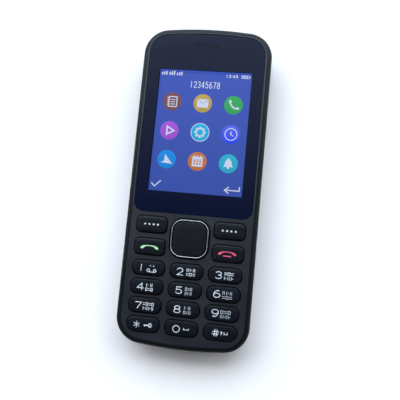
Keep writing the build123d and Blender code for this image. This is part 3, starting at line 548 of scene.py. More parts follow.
# The rim from its outer side over its top and down into its opening: inset, and depth below the front
RIM = [
    (0.25, 0.66), (0.28, 0.48), (0.36, 0.31), (0.49, 0.17), (0.63, 0.07),
    (0.74, 0.01), (1.09, 0.01), (1.12, 0.05), (1.14, 0.16), (1.15, 0.34),
]
rocker_foot = rocker_box.back + NUB_DEPTH
rocker_floor = rocker_foot + PLATE_THICKNESS
hole = circle(0, nav_y, PLATE_HOLE, len(nav_loop(0)))
rocker_rings = [
    (hole, rocker_foot),
    (nav_loop(-NAV_WING), rocker_foot),
    (nav_loop(-NAV_WING), rocker_floor - PLATE_EASE),
    (nav_loop(PLATE_INSET - NAV_WING), rocker_floor),
    (nav_loop(RIM[0][0]), rocker_floor),
    *[(nav_loop(inset), rocker_box.front - depth) for inset, depth in RIM],
    (nav_loop(RIM[-1][0]), rocker_floor),
    (hole, rocker_floor),
]
nubs = [
    block(x, nav_y + y, NUB_HALF, NUB_HALF, rocker_box.back, rocker_foot + NUB_OVERLAP)
    for x, y in ((NUB_REACH, 0), (-NUB_REACH, 0), (0, NUB_REACH), (0, -NUB_REACH))
]
rocker_mesh = join(skin(rocker_rings, closed=True), *nubs)
rocker = make_piece("rocker_frame", *rocker_mesh, "nav_rocker", "key_plastic")
# Painted shade: all of the rocker below its front takes the dark side colour, for its shaded groove.
paint_side_shade(rocker, rocker_box.front)
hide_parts("nav_rocker")

RING_HALF, RING_MIDDLE, RING_TURN = 0.18, 0.915, 18
ring_height = ring_box.front - ring_box.back
ring_rings = [
    (
        nav_loop(RING_MIDDLE - RING_HALF * math.cos(math.radians(turn))),
        ring_box.back + ring_height * math.sin(math.radians(turn)),
    )
    for turn in range(0, 181, RING_TURN)
]
ring = make_piece("rocker_ring", *skin(ring_rings, closed=True), "nav_rocker", "bright_trim", sharp=50)
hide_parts("nav_trim_ring")

PAD_CORNER, PAD_EASE, PAD_CROWN, PAD_THICKNESS, PAD_SHADE_DEPTH = 3.6, 0.34, 0.1, 1.92, 0.15
PLUNGER_RADIUS, PLUNGER_EASE = 1.2, 0.1
pad_radii = [PAD_CORNER] * 4
pad = Cap(0, nav_y, pad_box.half_x, pad_box.half_y, pad_radii, pad_box.front, PAD_EASE, PAD_CROWN)
pad_count = len(pad.loop(0))
pad_under = pad_box.front - PAD_THICKNESS
pad_rings = [
    (circle(0, nav_y, PLUNGER_RADIUS - PLUNGER_EASE, pad_count), pad_box.back),
    (circle(0, nav_y, PLUNGER_RADIUS, pad_count), pad_box.back + PLUNGER_EASE),
    (circle(0, nav_y, PLUNGER_RADIUS, pad_count), pad_under),
    (pad.loop(PLUNGER_EASE), pad_under),
    (pad.loop(0), pad_under + PLUNGER_EASE),
] + pad.top_rings()
pad_piece = make_piece("centre_pad", *skin(pad_rings, True, True), "nav_centre_key", "key_plastic")
# Painted shade: the pad's sides and eased edge take the dark side colour, for the gap around it.
paint_side_shade(pad_piece, pad_box.front - PAD_SHADE_DEPTH)
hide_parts("nav_centre_key")


# Printed and lit markings

# A straight run is divided at this spacing, and not within the margin at its ends.
RUN_MARGIN, RUN_SPACING = 0.6, 0.4
# Shapes of one sheet lie on a few levels a small step apart, so that none lie in one plane.
LAYER_STEP, LAYERS = 0.004, 4
SHARPEST_TURN, SLIVER = 0.45, 1e-9


def divided(path, loop):
    """The path with points added along its long straight runs, away from the corners."""
    out = []
    for i, (x, y) in enumerate(path):
        out.append((x, y))
        if i + 1 == len(path) and not loop:
            break
        nx, ny = path[(i + 1) % len(path)]
        length = math.hypot(nx - x, ny - y)
        room = length - 2 * RUN_MARGIN
        if room < SLIVER:
            continue
        count = max(1, round(room / RUN_SPACING))
        for k in range(count + 1):
            part = (RUN_MARGIN + room * k / count) / length
            out.append((x + (nx - x) * part, y + (ny - y) * part))
    return out


class Sheet:
    """Thin flat shapes that lie on a surface, gathered into one piece."""

    def __init__(self, height, lift=0.014, depth=0.03):
        self.height = height if callable(height) else lambda x, y: height
        self.lift, self.depth = lift, depth
        self.points, self.faces = [], []
        self.layer = 0

    def solid(self, flat, faces, edges):
        """Give flat faces a thickness. Edges are loops of indices, anticlockwise outside."""
        start, count = len(self.points), len(flat)
        rise = self.lift + LAYER_STEP * (self.layer % LAYERS)
        self.layer += 1
        self.points += [(x, y, self.height(x, y) + rise) for x, y in flat]
        self.points += [(x, y, self.height(x, y) - self.depth) for x, y in flat]
        for face in faces:
            self.faces.append(tuple(start + i for i in face))
            self.faces.append(tuple(start + count + i for i in reversed(face)))
        for loop in edges:
            for i, a in enumerate(loop):
                b = loop[(i + 1) % len(loop)]
                self.faces.append((start + a, start + count + a, start + count + b, start + b))

    def fill(self, *loops):
        """A filled outline, anticlockwise, with its holes, clockwise."""
        flat = [p for loop in loops for p in loop]
        faces = []
        for a, b, c in tessellate_polygon([[Vector((x, y, 0)) for x, y in loop] for loop in loops]):
            (ax, ay), (bx, by), (cx, cy) = flat[a], flat[b], flat[c]
            turn = (bx - ax) * (cy - ay) - (by - ay) * (cx - ax)
            if abs(turn) > SLIVER:
                faces.append((a, b, c) if turn > 0 else (a, c, b))
        edges, start = [], 0
        for loop in loops:
            edges.append([start + i for i in range(len(loop))])
            start += len(loop)
        self.solid(flat, faces, edges)

    def disc(self, x, y, radius, steps):
        self.fill(oval(x, y, radius, radius, steps))

    def stroke(self, path, width, loop=False):
        """A line of even width along a path, with round ends."""
        path = divided(path, loop)
        half = width / 2
        left, right = [], []
        for i, (x, y) in enumerate(path):
            before = path[i - 1] if i or loop else None
            after = path[(i + 1) % len(path)] if i + 1 < len(path) or loop else None
            steps = []
            for a, b in ((before, (x, y)), ((x, y), after)):
                if a and b:
                    length = math.hypot(b[0] - a[0], b[1] - a[1]) or 1
                    steps.append(((b[0] - a[0]) / length, (b[1] - a[1]) / length))
            dx, dy = steps[0][0] + steps[-1][0], steps[0][1] + steps[-1][1]
            size = math.hypot(dx, dy) or 1
            dx, dy = dx / size, dy / size
            turn = max(SHARPEST_TURN, dx * steps[0][0] + dy * steps[0][1])
            reach = half / turn
            left.append((x - dy * reach, y + dx * reach))
            right.append((x + dy * reach, y - dx * reach))
        count = len(path)
        flat = left + right
        faces = []
        for i in range(count if loop else count - 1):
            j = (i + 1) % count
            faces.append((i, count + i, count + j, j))
        if loop:
            self.solid(flat, faces, [list(range(count, 2 * count)), list(range(count))[::-1]])
            return
        caps_at = []
        for end, near in ((0, 1), (count - 1, count - 2)):
            x, y = path[end]
            angle = math.degrees(math.atan2(y - path[near][1], x - path[near][0]))
            bow = arc(x, y, half, half, angle - 90, angle + 90, 6)[1:-1]
            caps_at.append((len(flat), len(bow)))
            flat += bow
        (first, n), (last, m) = caps_at
        start_cap = [0] + list(range(first, first + n)) + [count]
        end_cap = [2 * count - 1] + list(range(last, last + m)) + [count - 1]
        faces += [tuple(start_cap), tuple(end_cap)]
        outline = (
            list(range(count, 2 * count)) + list(range(last, last + m))
            + list(range(count - 1, -1, -1)) + list(range(first, first + n))
        )
        self.solid(flat, faces, [outline])

    def glyph(self, sign, x, y, width, height, stroke):
        """One sign from the table, centred at a point."""
        w, h = width - stroke, height - stroke
        for path, loop in GLYPHS[sign]:
            placed = [(x + (px - 0.5) * w, y + (py - 0.5) * h) for px, py in path]
            self.stroke(placed, stroke, loop)

    def make(self, name, body, slot, look):
        make_piece(name, self.points, self.faces, body, slot, look, smooth=False)


def whole(cx, cy, rx, ry):
    return oval(cx, cy, rx, ry, 28, 90), True


def open_path(*parts):
    path = []
    for part in parts:
        path += part if isinstance(part, list) else [part]
    return path, False


# Each sign's strokes, in a box of one by one
six_stem = arc(0.62, 0.33, 0.62, 0.67, 72, 172, 12)
nine_stem = [(1 - x, 1 - y) for x, y in six_stem]
GLYPHS = {
    "0": [whole(0.5, 0.5, 0.5, 0.5)],
    "1": [open_path((0.5, 0), (0.5, 1))],
    "2": [open_path(arc(0.5, 0.7, 0.46, 0.3, 160, -38), (0.02, 0.0), (1, 0))],
    "3": [
        open_path(arc(0.46, 0.755, 0.44, 0.245, 150, -90)),
        open_path(arc(0.46, 0.265, 0.52, 0.265, 90, -152)),
    ],
    "4": [open_path((0.72, 1), (0, 0.27), (1, 0.27)), open_path((0.74, 0.93), (0.74, 0))],
    "5": [open_path((0.93, 1), (0.12, 1), (0.08, 0.56), arc(0.48, 0.32, 0.52, 0.32, 118, -152))],
    "6": [whole(0.5, 0.31, 0.5, 0.31), open_path(six_stem)],
    "7": [open_path((0, 1), (1, 1), (0.34, 0))],
    "8": [whole(0.5, 0.765, 0.42, 0.235), whole(0.5, 0.27, 0.5, 0.27)],
    "9": [whole(0.5, 0.69, 0.5, 0.31), open_path(nine_stem)],
    "star": [
        open_path((0.5, 0), (0.5, 1)),
        open_path((0.03, 0.25), (0.97, 0.75)), open_path((0.03, 0.75), (0.97, 0.25)),
    ],
    "hash": [
        open_path((0.3, 0), (0.4, 1)), open_path((0.66, 0), (0.76, 1)),
        open_path((0, 0.33), (0.96, 0.33)), open_path((0.06, 0.68), (1, 0.68)),
    ],
}

# Digits: centre, from the key's own, then width and height
DIGITS = {
    "key_1": (-2.74, -0.155, 0.42, 2.7), "key_2": (-2.4, -0.205, 2.6, 2.85),
    "key_3": (-2.36, -0.105, 2.6, 2.85), "key_4": (-2.29, -0.115, 2.75, 2.75),
    "key_5": (-2.2, -0.115, 2.6, 2.8), "key_6": (-2.46, -0.015, 2.7, 2.85),
    "key_7": (-2.39, -0.125, 2.5, 2.65), "key_8": (-2.15, -0.125, 2.7, 2.85),
    "key_9": (-2.51, 0.075, 2.7, 2.85), "key_star": (-2.29, -0.185, 2.4, 2.6),
    "key_0": (-1.8, -0.285, 2.85, 2.75), "key_hash": (-1.71, -0.035, 2.6, 2.7),
}
DIGIT_STROKE = 0.31
THIN_STROKES = {"1": 0.26, "star": 0.24, "hash": 0.29}
# Small plain marks beside the digits: start of the rows, from the key's centre, width of the rows, and
# number of marks in the upper and in the lower row
MARK_ROWS = {
    "key_2": (-0.15, 3.7, 3, 3), "key_3": (-0.51, 3.9, 3, 3), "key_4": (-0.44, 3.1, 2, 3),
    "key_5": (0.05, 2.9, 3, 3), "key_6": (-0.61, 4.1, 3, 3), "key_7": (-0.74, 4.4, 4, 4),
    "key_8": (0.15, 3.0, 2, 3), "key_9": (-0.71, 4.1, 3, 4),
}
MARK_LEVELS, MARK_STROKE = (0.6, -1.05), 0.23
MARK_GAP, MARK_WIDTH, MARK_HEIGHT = 0.2, 1.12, 1.28
# The small marks on these keys take the darker copy of the white ink, as painted shade.
PAINTED_SHADE_KEYS = ("key_5", "key_6", "key_8", "key_9")


def small_mark(sheet, kind, x, y, width, height, thick):
    """One of four plain marks: a frame, a pair of bars, a pair of dashes and a bar with a dot."""
    reach_x, reach_y = width / 2 - thick / 2, height / 2 - thick / 2
    if kind == 0:
        sheet.stroke(rounded(x, y, reach_x, reach_y, [0.12] * 4, 2), thick, True)
    elif kind == 1:
        for bar in (x - width / 4, x + width / 4):
            sheet.stroke([(bar, y - reach_y), (bar, y + reach_y)], thick)
    elif kind == 2:
        for dash in (y - height / 4, y + height / 4):
            sheet.stroke([(x - reach_x, dash), (x + reach_x, dash)], thick)
    else:
        sheet.stroke([(x - width / 4, y - reach_y), (x - width / 4, y + reach_y)], thick)
        sheet.disc(x + width / 4, y, thick * 0.75, 10)


def line(width, *points):
    return width, False, [points]


def contour(width, points):
    return width, True, [points]


def filled(*loops):
    return None, True, loops


def draw(sheet, shapes, x, y):
    """Draw lines, contours and filled shapes about a point."""
    for width, closed, paths in shapes:
        placed = [[(x + px, y + py) for px, py in path] for path in paths]
        if width is None:
            sheet.fill(*placed)
        else:
            sheet.stroke(placed[0], width, closed)


# Half of a handset, from the middle of its lower edge to that of its upper edge
HANDSET = [
    (0.0, 0.36), (1.0, 0.32), (1.65, 0.12), (2.1, -0.22), (2.5, -0.66), (3.2, -0.74),
    (3.5, -0.45), (3.25, 0.0), (2.7, 0.4), (1.9, 0.62), (0.95, 0.7), (0.0, 0.72),
]


def handset(x, y):
    """A whole handset about a point."""
    left = [(x - px, y + py) for px, py in HANDSET]
    right = [(x + px, y + py) for px, py in HANDSET]
    return filled(left + right[::-1])


def dots(start, spacing=1.65, radius=0.37):
    """Four dots in a row, from the first one's place."""
    return [filled(oval(start + spacing * i, 0.02, radius, radius, 20)) for i in range(4)]


# The signs beside the digits and on the function keys, from the key's centre
KEY_SIGNS = {
    "key_1": [
        *[contour(0.3, oval(x, -0.955, 0.52, 0.52, 24)) for x in (0.11, 2.61)],
        line(0.27, (0.16, -1.525), (2.56, -1.525)),
        *[filled(oval(x, 0.795, 0.24, 0.24, 14)) for x in (0.76, 2.01)],
    ],
    "key_star": [
        line(0.42, (0.66, -0.185), (2.41, -0.185)),
        line(0.3, (0.91, -0.235), (0.91, -0.635)),
        contour(0.32, rounded(2.91, -0.135, 0.44, 0.64, [0.36] * 4, 4)),
    ],
    "key_0": [line(0.22, (1.0, 0.265), (1.0, -0.285), (2.9, -0.285), (2.9, 0.265))],
    "key_hash": [
        line(0.3, (0.49, -0.535), (0.49, 0.165)),
        filled([(0.04, 0.115), (0.94, 0.115), (0.49, 0.765)]),
        line(0.22, (1.49, 0.465), (1.49, -0.335), (2.69, -0.335), (2.69, 0.465)),
    ],
    "soft_key_left": dots(-2.575),
    "soft_key_right": dots(-2.675),
    "call_key": [handset(0.0025, -0.24)],
    "end_key": [handset(-0.2525, 0.16), line(0.46, (-1.6025, -0.89), (1.0975, -0.89))],
}
KEY_INKS = {"call_key": "green_ink", "end_key": "red_ink"}

for order, (name, cap) in enumerate(caps.items()):
    sheet = Sheet(cap.height)
    if name in DIGITS:
        sign = name.removeprefix("key_")
        x, y, width, height = DIGITS[name]
        sheet.glyph(sign, cap.x + x, cap.y + y, width, height, THIN_STROKES.get(sign, DIGIT_STROKE))
    if name in MARK_ROWS:
        start, extent, *counts = MARK_ROWS[name]
        small = Sheet(cap.height)
        for row, count in enumerate(counts):
            pitch = extent / count
            for i in range(count):
                x, y = cap.x + start + pitch * (i + 0.5), cap.y + MARK_LEVELS[row]
                kind, width = (order + 2 * i + row) % 4, min(pitch - MARK_GAP, MARK_WIDTH)
                small_mark(small, kind, x, y, width, MARK_HEIGHT, MARK_STROKE)
        ink = "painted_shade_ink" if name in PAINTED_SHADE_KEYS else "white_ink"
        small.make(f"print_small_{name}", name, "key_plastic", ink)
    draw(sheet, KEY_SIGNS.get(name, []), cap.x, cap.y)
    sheet.make(f"print_{name}", name, "key_plastic", KEY_INKS.get(name, "white_ink"))


# Window print and display

# The window has small corners at its foot, large ones at its head, and a head that bows.
WINDOW_FOOT_CORNER, WINDOW_HEAD_CORNER, WINDOW_BOW = 3.86, 7.51, 157.51
PRINT_INSET, PRINT_LIFT, PRINT_FOOT = 0.06, 0.012, 0.002
EARPIECE_SLOT_HALF, EARPIECE_SLOT_RADIUS, EARPIECE_DROP = 5.0, 0.5, 4.7


def window_head(inset):
    """The window's two upper corners and its bow, drawn in from its edge, from right to left."""
    corner, bow = WINDOW_HEAD_CORNER - inset, WINDOW_BOW - inset
    x = window_box.half_x - inset - corner
    middle = window_box.y + window_box.half_y - inset - bow
    y = middle + math.sqrt((bow - corner) ** 2 - x**2)
    meet = math.degrees(math.atan2(y - middle, x))
    return (
        arc(x, y, corner, corner, 0, meet, 16)
        + arc(0, middle, bow, bow, meet, 180 - meet, 16)[1:-1]
        + arc(-x, y, corner, corner, 180 - meet, 180, 16)
    )


def window_foot(inset):
    """The window's two lower corners, drawn in from its edge, from left to right."""
    corner = WINDOW_FOOT_CORNER - inset
    x = window_box.half_x - inset - corner
    y = window_box.y - window_box.half_y + inset + corner
    return arc(-x, y, corner, corner, 180, 270) + arc(x, y, corner, corner, 270, 360)


# The border is drawn on the glass's face, from its foot to its lift above it.
border = Sheet(window_box.front, PRINT_LIFT, -PRINT_FOOT)
slot_y, slot_radii = window_box.y + window_box.half_y - EARPIECE_DROP, [EARPIECE_SLOT_RADIUS] * 4
border.fill(
    window_foot(PRINT_INSET) + window_head(PRINT_INSET),
    rounded(0, SCREEN_Y, SCREEN_HALF_X, SCREEN_HALF_Y, [0.05] * 4, 2)[::-1],
    rounded(0, slot_y, EARPIECE_SLOT_HALF, EARPIECE_SLOT_RADIUS, slot_radii, 8)[::-1],
)
border.make("window_print", "handset", "window_glass", "border_ink")

# The earpiece's cloth is held under the window and bulges up into its slot.
cloth_box = Extent("earpiece_mesh")
CLOTH_GAP, CLOTH_SINK, CLOTH_EASE, CLOTH_STEPS = 0.06, 0.12, 0.12, 8
cloth_x, cloth_y = EARPIECE_SLOT_HALF - CLOTH_GAP, EARPIECE_SLOT_RADIUS - CLOTH_GAP


def cloth_loop(half_x, half_y):
    return rounded(cloth_box.x, cloth_box.y, half_x, half_y, [half_y] * 4, CLOTH_STEPS)


cloth_rings = [
    (cloth_loop(cloth_box.half_x, cloth_box.half_y), cloth_box.back),
    (cloth_loop(cloth_box.half_x, cloth_box.half_y), cloth_box.front),
    (cloth_loop(cloth_x, cloth_y), cloth_box.front),
]
for inset, drop in ((0, CLOTH_EASE), (CLOTH_EASE / 3, CLOTH_EASE / 3), (CLOTH_EASE, 0)):
    level = window_box.front - CLOTH_SINK - drop
    cloth_rings.append((cloth_loop(cloth_x - inset, cloth_y - inset), level))
cloth = make_piece("earpiece_cloth", *skin(cloth_rings, True, True), "handset", "mesh_cloth")
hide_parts("earpiece_mesh")

# A low rounded lip on the housing runs up both sides of the window and over its head, and fades below.
# Its colour, lighter than the face's, is a painted highlight.
LIP_OFFSET, LIP_HALF, LIP_HEIGHT, LIP_START, LIP_FADE = 0.36, 0.25, 0.18, -9.0, 8.0
LIP_STEPS, LIP_FADE_STEPS, LIP_LEVELS = 8, 8, [10.0, 20.0, 30.0, 40.0]
lip_x = window_box.half_x + LIP_OFFSET
sides = [LIP_START + LIP_FADE * i / LIP_FADE_STEPS for i in range(LIP_FADE_STEPS + 1)] + LIP_LEVELS
lip_path = (
    [(lip_x, y) for y in sides] + window_head(-LIP_OFFSET) + [(-lip_x, y) for y in reversed(sides)]
)
lip_points, lip_faces = [], []
for i, (x, y) in enumerate(lip_path):
    (ax, ay), (bx, by) = lip_path[max(i - 1, 0)], lip_path[min(i + 1, len(lip_path) - 1)]
    length = math.hypot(bx - ax, by - ay)
    across = ((by - ay) / length, (ax - bx) / length)
    fade = min((y - LIP_START) / LIP_FADE, 1)
    for step in range(LIP_STEPS + 1):
        turn = math.pi * step / LIP_STEPS
        out, up = LIP_HALF * math.cos(turn), LIP_HEIGHT * fade * math.sin(turn)
        lip_points.append((x + out * across[0], y + out * across[1], window_box.front + up))
for i in range(len(lip_path) - 1):
    for step in range(LIP_STEPS):
        a = i * (LIP_STEPS + 1) + step
        lip_faces.append((a, a + 1, a + LIP_STEPS + 2, a + LIP_STEPS + 1))
make_piece("window_lip", lip_points, lip_faces, "handset", "front_paint", "lip_painted_highlight", sharp=180)


LIT_STEP, LIT_LIFT = 0.012, 0.008


def lit_sheet(level):
    """Flat shapes on the display, a step above those of the level below."""
    return Sheet(panel_box.front + LIT_STEP * level, LIT_LIFT, 0.0)


def show(sheet, name, *colours_and_place):
    """Make a sheet's piece, lit in colours that change along a place on the display."""
    finishes[name] = lit(name, *colours_and_place)
    sheet.make(name, "handset", "panel_glass", name)


# The ground goes on a little behind the border, furthest at its head, where slanted views see past it.
GROUND_SPILL, GROUND_HEAD_SPILL = 0.1, 0.5
ground_y = SCREEN_Y + (GROUND_HEAD_SPILL - GROUND_SPILL) / 2
ground_half_x = SCREEN_HALF_X + GROUND_SPILL
ground_half_y = SCREEN_HALF_Y + (GROUND_HEAD_SPILL + GROUND_SPILL) / 2
ground = lit_sheet(0)
ground.fill(rounded(0, ground_y, ground_half_x, ground_half_y, [GROUND_SPILL] * 4, 2))
show(ground, "screen_ground", (0.052, 0.1, 0.51), (0.04, 0.084, 0.39))

# The menu's pictograms, from the centres of their discs
notebook = [
    contour(0.42, rounded(0.25, 0, 1.6, 2.0, [0.25] * 4, 3)),
    *[line(0.26, (-2.0, y), (-1.25, y)) for y in (-1.6, -0.8, 0.0, 0.8, 1.6)],
    *[line(0.3, (-0.6, y), (1.1, y)) for y in (-1.0, -0.1, 0.8)],
]
envelope = [filled(rounded(0, 0, 2.25, 1.7, [0.2] * 4, 3))]
receiver = [
    line(0.62, *arc(1.6, 1.6, 3.0, 3.0, 176, 274, 16)),
    filled(oval(-1.35, 1.35, 0.62, 0.5, 18)),
    filled(oval(1.75, -1.25, 0.62, 0.5, 18)),
]
play = [contour(0.6, [(-1.0, -1.6), (1.8, 0), (-1.0, 1.6)])]
GEAR_FOOT, GEAR_TIP, GEAR_HOLE, GEAR_TEETH = 1.75, 2.25, 1.25, 8
teeth = []
for tooth in range(GEAR_TEETH):
    for radius, offset in ((GEAR_FOOT, -16), (GEAR_TIP, -9), (GEAR_TIP, 9), (GEAR_FOOT, 16)):
        turn = math.radians(360 / GEAR_TEETH * tooth + offset)
        teeth.append((radius * math.cos(turn), radius * math.sin(turn)))
gear = [
    contour(0.26, oval(0, 0, 3.6, 3.6, 56)),
    filled(teeth, arc(0, 0, GEAR_HOLE, GEAR_HOLE, 360, 0, 30)[:-1]),
]
# The doubled point widens the clock's hand at its middle.
hand = line(0.3, (0, 1.1), (0, 0.5), (0, 0.5), (0, -0.1), (0.95, -0.6))
clock = [contour(0.36, oval(0, 0, 2.35, 2.35, 44)), hand]
sail = [filled([(-2.4, -1.35), (2.5, -1.7), (1.25, -0.35), (-0.75, 2.1), (-0.95, -0.75)])]
day_places = [(1.15 * i - 1.15, 0.1 - 1.05 * j) for i in range(3) for j in range(2)]
days = [rounded(*place, 0.36, 0.34, [0.04] * 4, 1) for place in day_places]
calendar = [
    filled(rounded(0, -0.1, 2.1, 1.95, [0.25] * 4, 3), *[day[::-1] for day in days]),
    *[line(0.34, (x, 1.7), (x, 2.35)) for x in (-1.2, 0, 1.2)],
]
bell_side = [(2.0, -1.3), (1.45, -0.7), (1.3, 0.6), (0.75, 1.5), (0.25, 1.8), (0.2, 2.25)]
bell_outline = [(-2.0, -1.3), *bell_side, *[(-x, y) for x, y in bell_side[:0:-1]]]
bell = [filled(bell_outline), filled(oval(0, -1.65, 0.5, 0.4, 12))]

# The menu's rows, from the top: each pictogram with its disc's colour
DISC = 3.72
COLUMNS, ROWS = (-12.4, -0.12, 12.08), (11.8, 0.05, -11.6)
MENU = [
    [(notebook, (0.22, 0.085, 0.105)), (envelope, (0.56, 0.4, 0.09)), (receiver, (0.045, 0.44, 0.12))],
    [(play, (0.4, 0.1, 0.78)), (gear, (0.02, 0.48, 0.82)), (clock, (0.11, 0.16, 0.86))],
    [(sail, (0.012, 0.28, 0.82)), (calendar, (0.6, 0.19, 0.05)), (bell, (0.03, 0.46, 0.66))],
]
CLOCK_FOOT_COLOUR = (0.012, 0.045, 0.93)
pale = lit_sheet(2)
for r, row in enumerate(MENU):
    for c, (pictogram, colour) in enumerate(row):
        x, y = COLUMNS[c], SCREEN_Y + ROWS[r]
        sheet = lit_sheet(1)
        sheet.disc(x, y, DISC, 56)
        low = CLOCK_FOOT_COLOUR if pictogram is clock else darker(colour)
        show(sheet, f"screen_disc_{r}{c}", colour, low, y, DISC)
        draw(pale, pictogram, x, y)


def digit_row(signs, level, width, narrow, height, stroke):
    """Digits at places along a level of the display. A 1 is narrow."""
    for sign, x in signs:
        pale.glyph(sign, x, SCREEN_Y + level, narrow if sign == "1" else width, height, stroke)


# Title place
TITLE_START, TITLE_PITCH, TITLE_LEVEL = -5.35, 1.55, 19.3
title = [(sign, TITLE_START + TITLE_PITCH * i) for i, sign in enumerate("12345678")]
digit_row(title, TITLE_LEVEL, width=1.2, narrow=0.4, height=2.75, stroke=0.3)
# Foot signs: a tick and a return arrow
foot_signs = [
    line(0.42, (-17.4, -21.4), (-16.2, -22.6), (-13.9, -20.3)),
    line(0.42, (17.2, -20.6), (17.2, -22.0), (11.6, -22.0)),
    line(0.42, (13.0, -20.8), (11.5, -22.0), (13.0, -23.2)),
]
draw(pale, foot_signs, 0, SCREEN_Y)
# Status row: the clock's digits and colon, the battery, and three groups of signal bars
STATUS_LEVEL, BATTERY_X = 23.4, 15.9
status_clock = (("1", 8.55), ("2", 9.7), ("4", 11.35), ("5", 12.5))
digit_row(status_clock, STATUS_LEVEL, width=0.85, narrow=0.3, height=1.25, stroke=0.26)
status_signs = [
    *[filled(oval(10.52, y, 0.15, 0.15, 10)) for y in (-0.3, 0.3)],
    contour(0.2, rounded(BATTERY_X, 0, 1.55, 0.55, [0.12] * 4, 2)),
    *[line(0.34, (BATTERY_X + x, -0.3), (BATTERY_X + x, 0.3)) for x in (-1.05, -0.45, 0.15, 0.75)],
    line(0.22, (BATTERY_X + 1.85, -0.2), (BATTERY_X + 1.85, 0.2)),
]
BAR_PITCH, BAR_FOOT, BAR_TOP, BAR_RISE = 0.88, -0.5, 0.15, 0.26
for group, start in enumerate((-17.5, -14.4, -11.4)):
    for i in range(3):
        x, top = start + BAR_PITCH * i, BAR_TOP + BAR_RISE * (i + group % 2)
        status_signs.append(line(0.52, (x, BAR_FOOT), (x, top)))
draw(pale, status_signs, 0, SCREEN_Y + STATUS_LEVEL)
show(pale, "screen_signs", (0.66, 0.72, 0.88), (0.62, 0.68, 0.86))

# Lines on the envelope and the calendar
fine = lit_sheet(3)
draw(fine, [line(0.26, (-2.0, 1.45), (0, -0.1), (2.0, 1.45))], COLUMNS[1], SCREEN_Y + ROWS[0])
draw(fine, [line(0.24, (-1.9, 0.85), (1.9, 0.85))], COLUMNS[1], SCREEN_Y + ROWS[2])
show(fine, "screen_lines", (0.42, 0.4, 0.42))


# Floor, light and camera

floor = new_tree("studio_floor")
floor_place = floor.place()
floor_cloud = floor.ramp(floor.noise(floor_place, 60.0, 4.0), 0, 1)
floor_values = {
    "Base Color": floor.blend(floor_cloud, (0.96, 0.885, 0.84), (0.94, 0.87, 0.83)),
    "Roughness": 0.75,
    "Specular IOR Level": 0.2,
    "Normal": floor.bump(floor.noise(floor_place, 1.2), 0.05),
}
floor_shader = floor.add("BsdfPrincipled", floor_values)
# A view from below sees through the floor. Light from below passes it under the phone, up to its back.
# The floor's half size and level are in metres.
FLOOR_HALF, FLOOR_LEVEL = 3.0, -0.00005
LIT_INSET, LIT_CORNER, LIT_FADE = 2.4, 8.5, 4.0
casing = Extent("middle_frame")
past_corner = []
for axis, half in (("X", casing.half_x), ("Y", casing.half_y)):
    away = floor.maths("ABSOLUTE", floor.coordinate(axis))
    past = floor.maths("SUBTRACT", away, half - LIT_INSET - LIT_CORNER)
    past_corner.append(floor.maths("POWER", floor.maths("MAXIMUM", past, 0.0), 2.0))
outward = floor.maths("POWER", floor.maths("ADD", *past_corner), 0.5)
under = floor.ramp(outward, 1, 0, LIT_CORNER - LIT_FADE, LIT_CORNER)
camera_ray = floor.add("LightPath").outputs["Is Camera Ray"]
backfacing = floor.add("NewGeometry").outputs["Backfacing"]
from_below = floor.maths("MULTIPLY", backfacing, camera_ray)
to_back = floor.maths("MULTIPLY", under, floor.maths("SUBTRACT", 1.0, camera_ray))
unseen = floor.maths("MAXIMUM", from_below, to_back)
floor_mix = floor.mix(unseen, floor_shader, floor.add("BsdfTransparent"))
floor_mesh = bpy.data.meshes.new("studio_floor")
floor_corners = [(FLOOR_HALF * x, FLOOR_HALF * y, FLOOR_LEVEL) for x, y in CORNERS]
floor_mesh.from_pydata(floor_corners, [], [(0, 1, 2, 3)])
floor_mesh.materials.append(floor.finish(floor_mix))
new_object("studio_floor", floor_mesh)

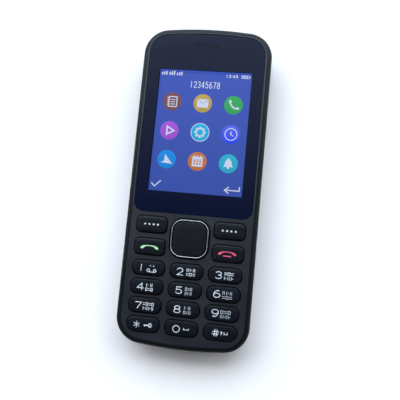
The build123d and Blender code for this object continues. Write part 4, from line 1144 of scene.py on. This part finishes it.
# The sky is darker overhead than at the horizon, and brighter towards the head of the phone.
world = bpy.data.worlds.new("studio")
bpy.context.scene.world = world
sky = Tree(world)
direction = sky.add("SeparateXYZ", {0: sky.add("TexCoord").outputs["Generated"]})
towards_head = sky.ramp(direction.outputs["Y"], 0.07, 1.45, start=0.02, end=0.8)
near_horizon = sky.ramp(direction.outputs["Z"], 0.16, 0.0, start=0.55, end=0.85)
strength = sky.maths("ADD", towards_head, near_horizon)
glow = sky.add("Background", {"Color": (0.74, 0.86, 1.02, 1), "Strength": strength})
# Seen past the floor's edge, the room is as pale as the floor.
backdrop = sky.add("Background", {"Color": (0.8, 0.81, 0.82, 1)})
seen = sky.add("LightPath").outputs["Is Camera Ray"]
sky.finish(sky.mix(seen, glow, backdrop), "OutputWorld")


def softbox(name, place, size, power, colour):
    """A rectangular light that faces the middle of the phone, in metres and watts."""
    data = bpy.data.lights.new(name, "AREA")
    data.shape = "RECTANGLE"
    data.size, data.size_y = size
    data.energy = power
    data.color = colour
    lamp = new_object(name, data)
    lamp.location = place
    lamp.rotation_euler = (-Vector(place)).to_track_quat("-Z", "Y").to_euler()


softbox("light_head", (-0.15, 1.55, 1.5), (3.0, 1.4), 66.0, (0.72, 0.86, 1.0))
softbox("light_left", (-1.9, 0.9, 1.6), (1.4, 2.1), 19.0, (0.93, 0.96, 1.0))
softbox("light_right", (2.05, 1.0, 1.35), (1.4, 1.8), 17.0, (0.94, 0.97, 1.0))
softbox("light_below", (0.3, -0.6, -1.5), (1.8, 1.8), 42.0, (0.97, 0.98, 1.0))

# The camera's place, in metres, and its axes come from the fit to the photograph.
CAMERA_PLACE = (0.02095, -0.02048, 0.18433)
CAMERA_RIGHT = Vector((0.9908, 0.0929, -0.0981))
CAMERA_DOWN = Vector((0.0837, -0.992, -0.0944))
CAMERA_AHEAD = Vector((-0.1061, 0.0854, -0.9907))
camera_data = bpy.data.cameras.new("camera")
camera_data.lens = 40.5
camera_data.sensor_width = 36.0
camera_data.clip_start = 0.01
camera = new_object("camera", camera_data)
turn = Matrix((CAMERA_RIGHT, -CAMERA_DOWN, -CAMERA_AHEAD)).transposed().to_quaternion()
camera.matrix_world = Matrix.Translation(CAMERA_PLACE) @ turn.to_matrix().to_4x4()
bpy.context.scene.camera = camera

bpy.context.scene.view_settings.view_transform = "Standard"
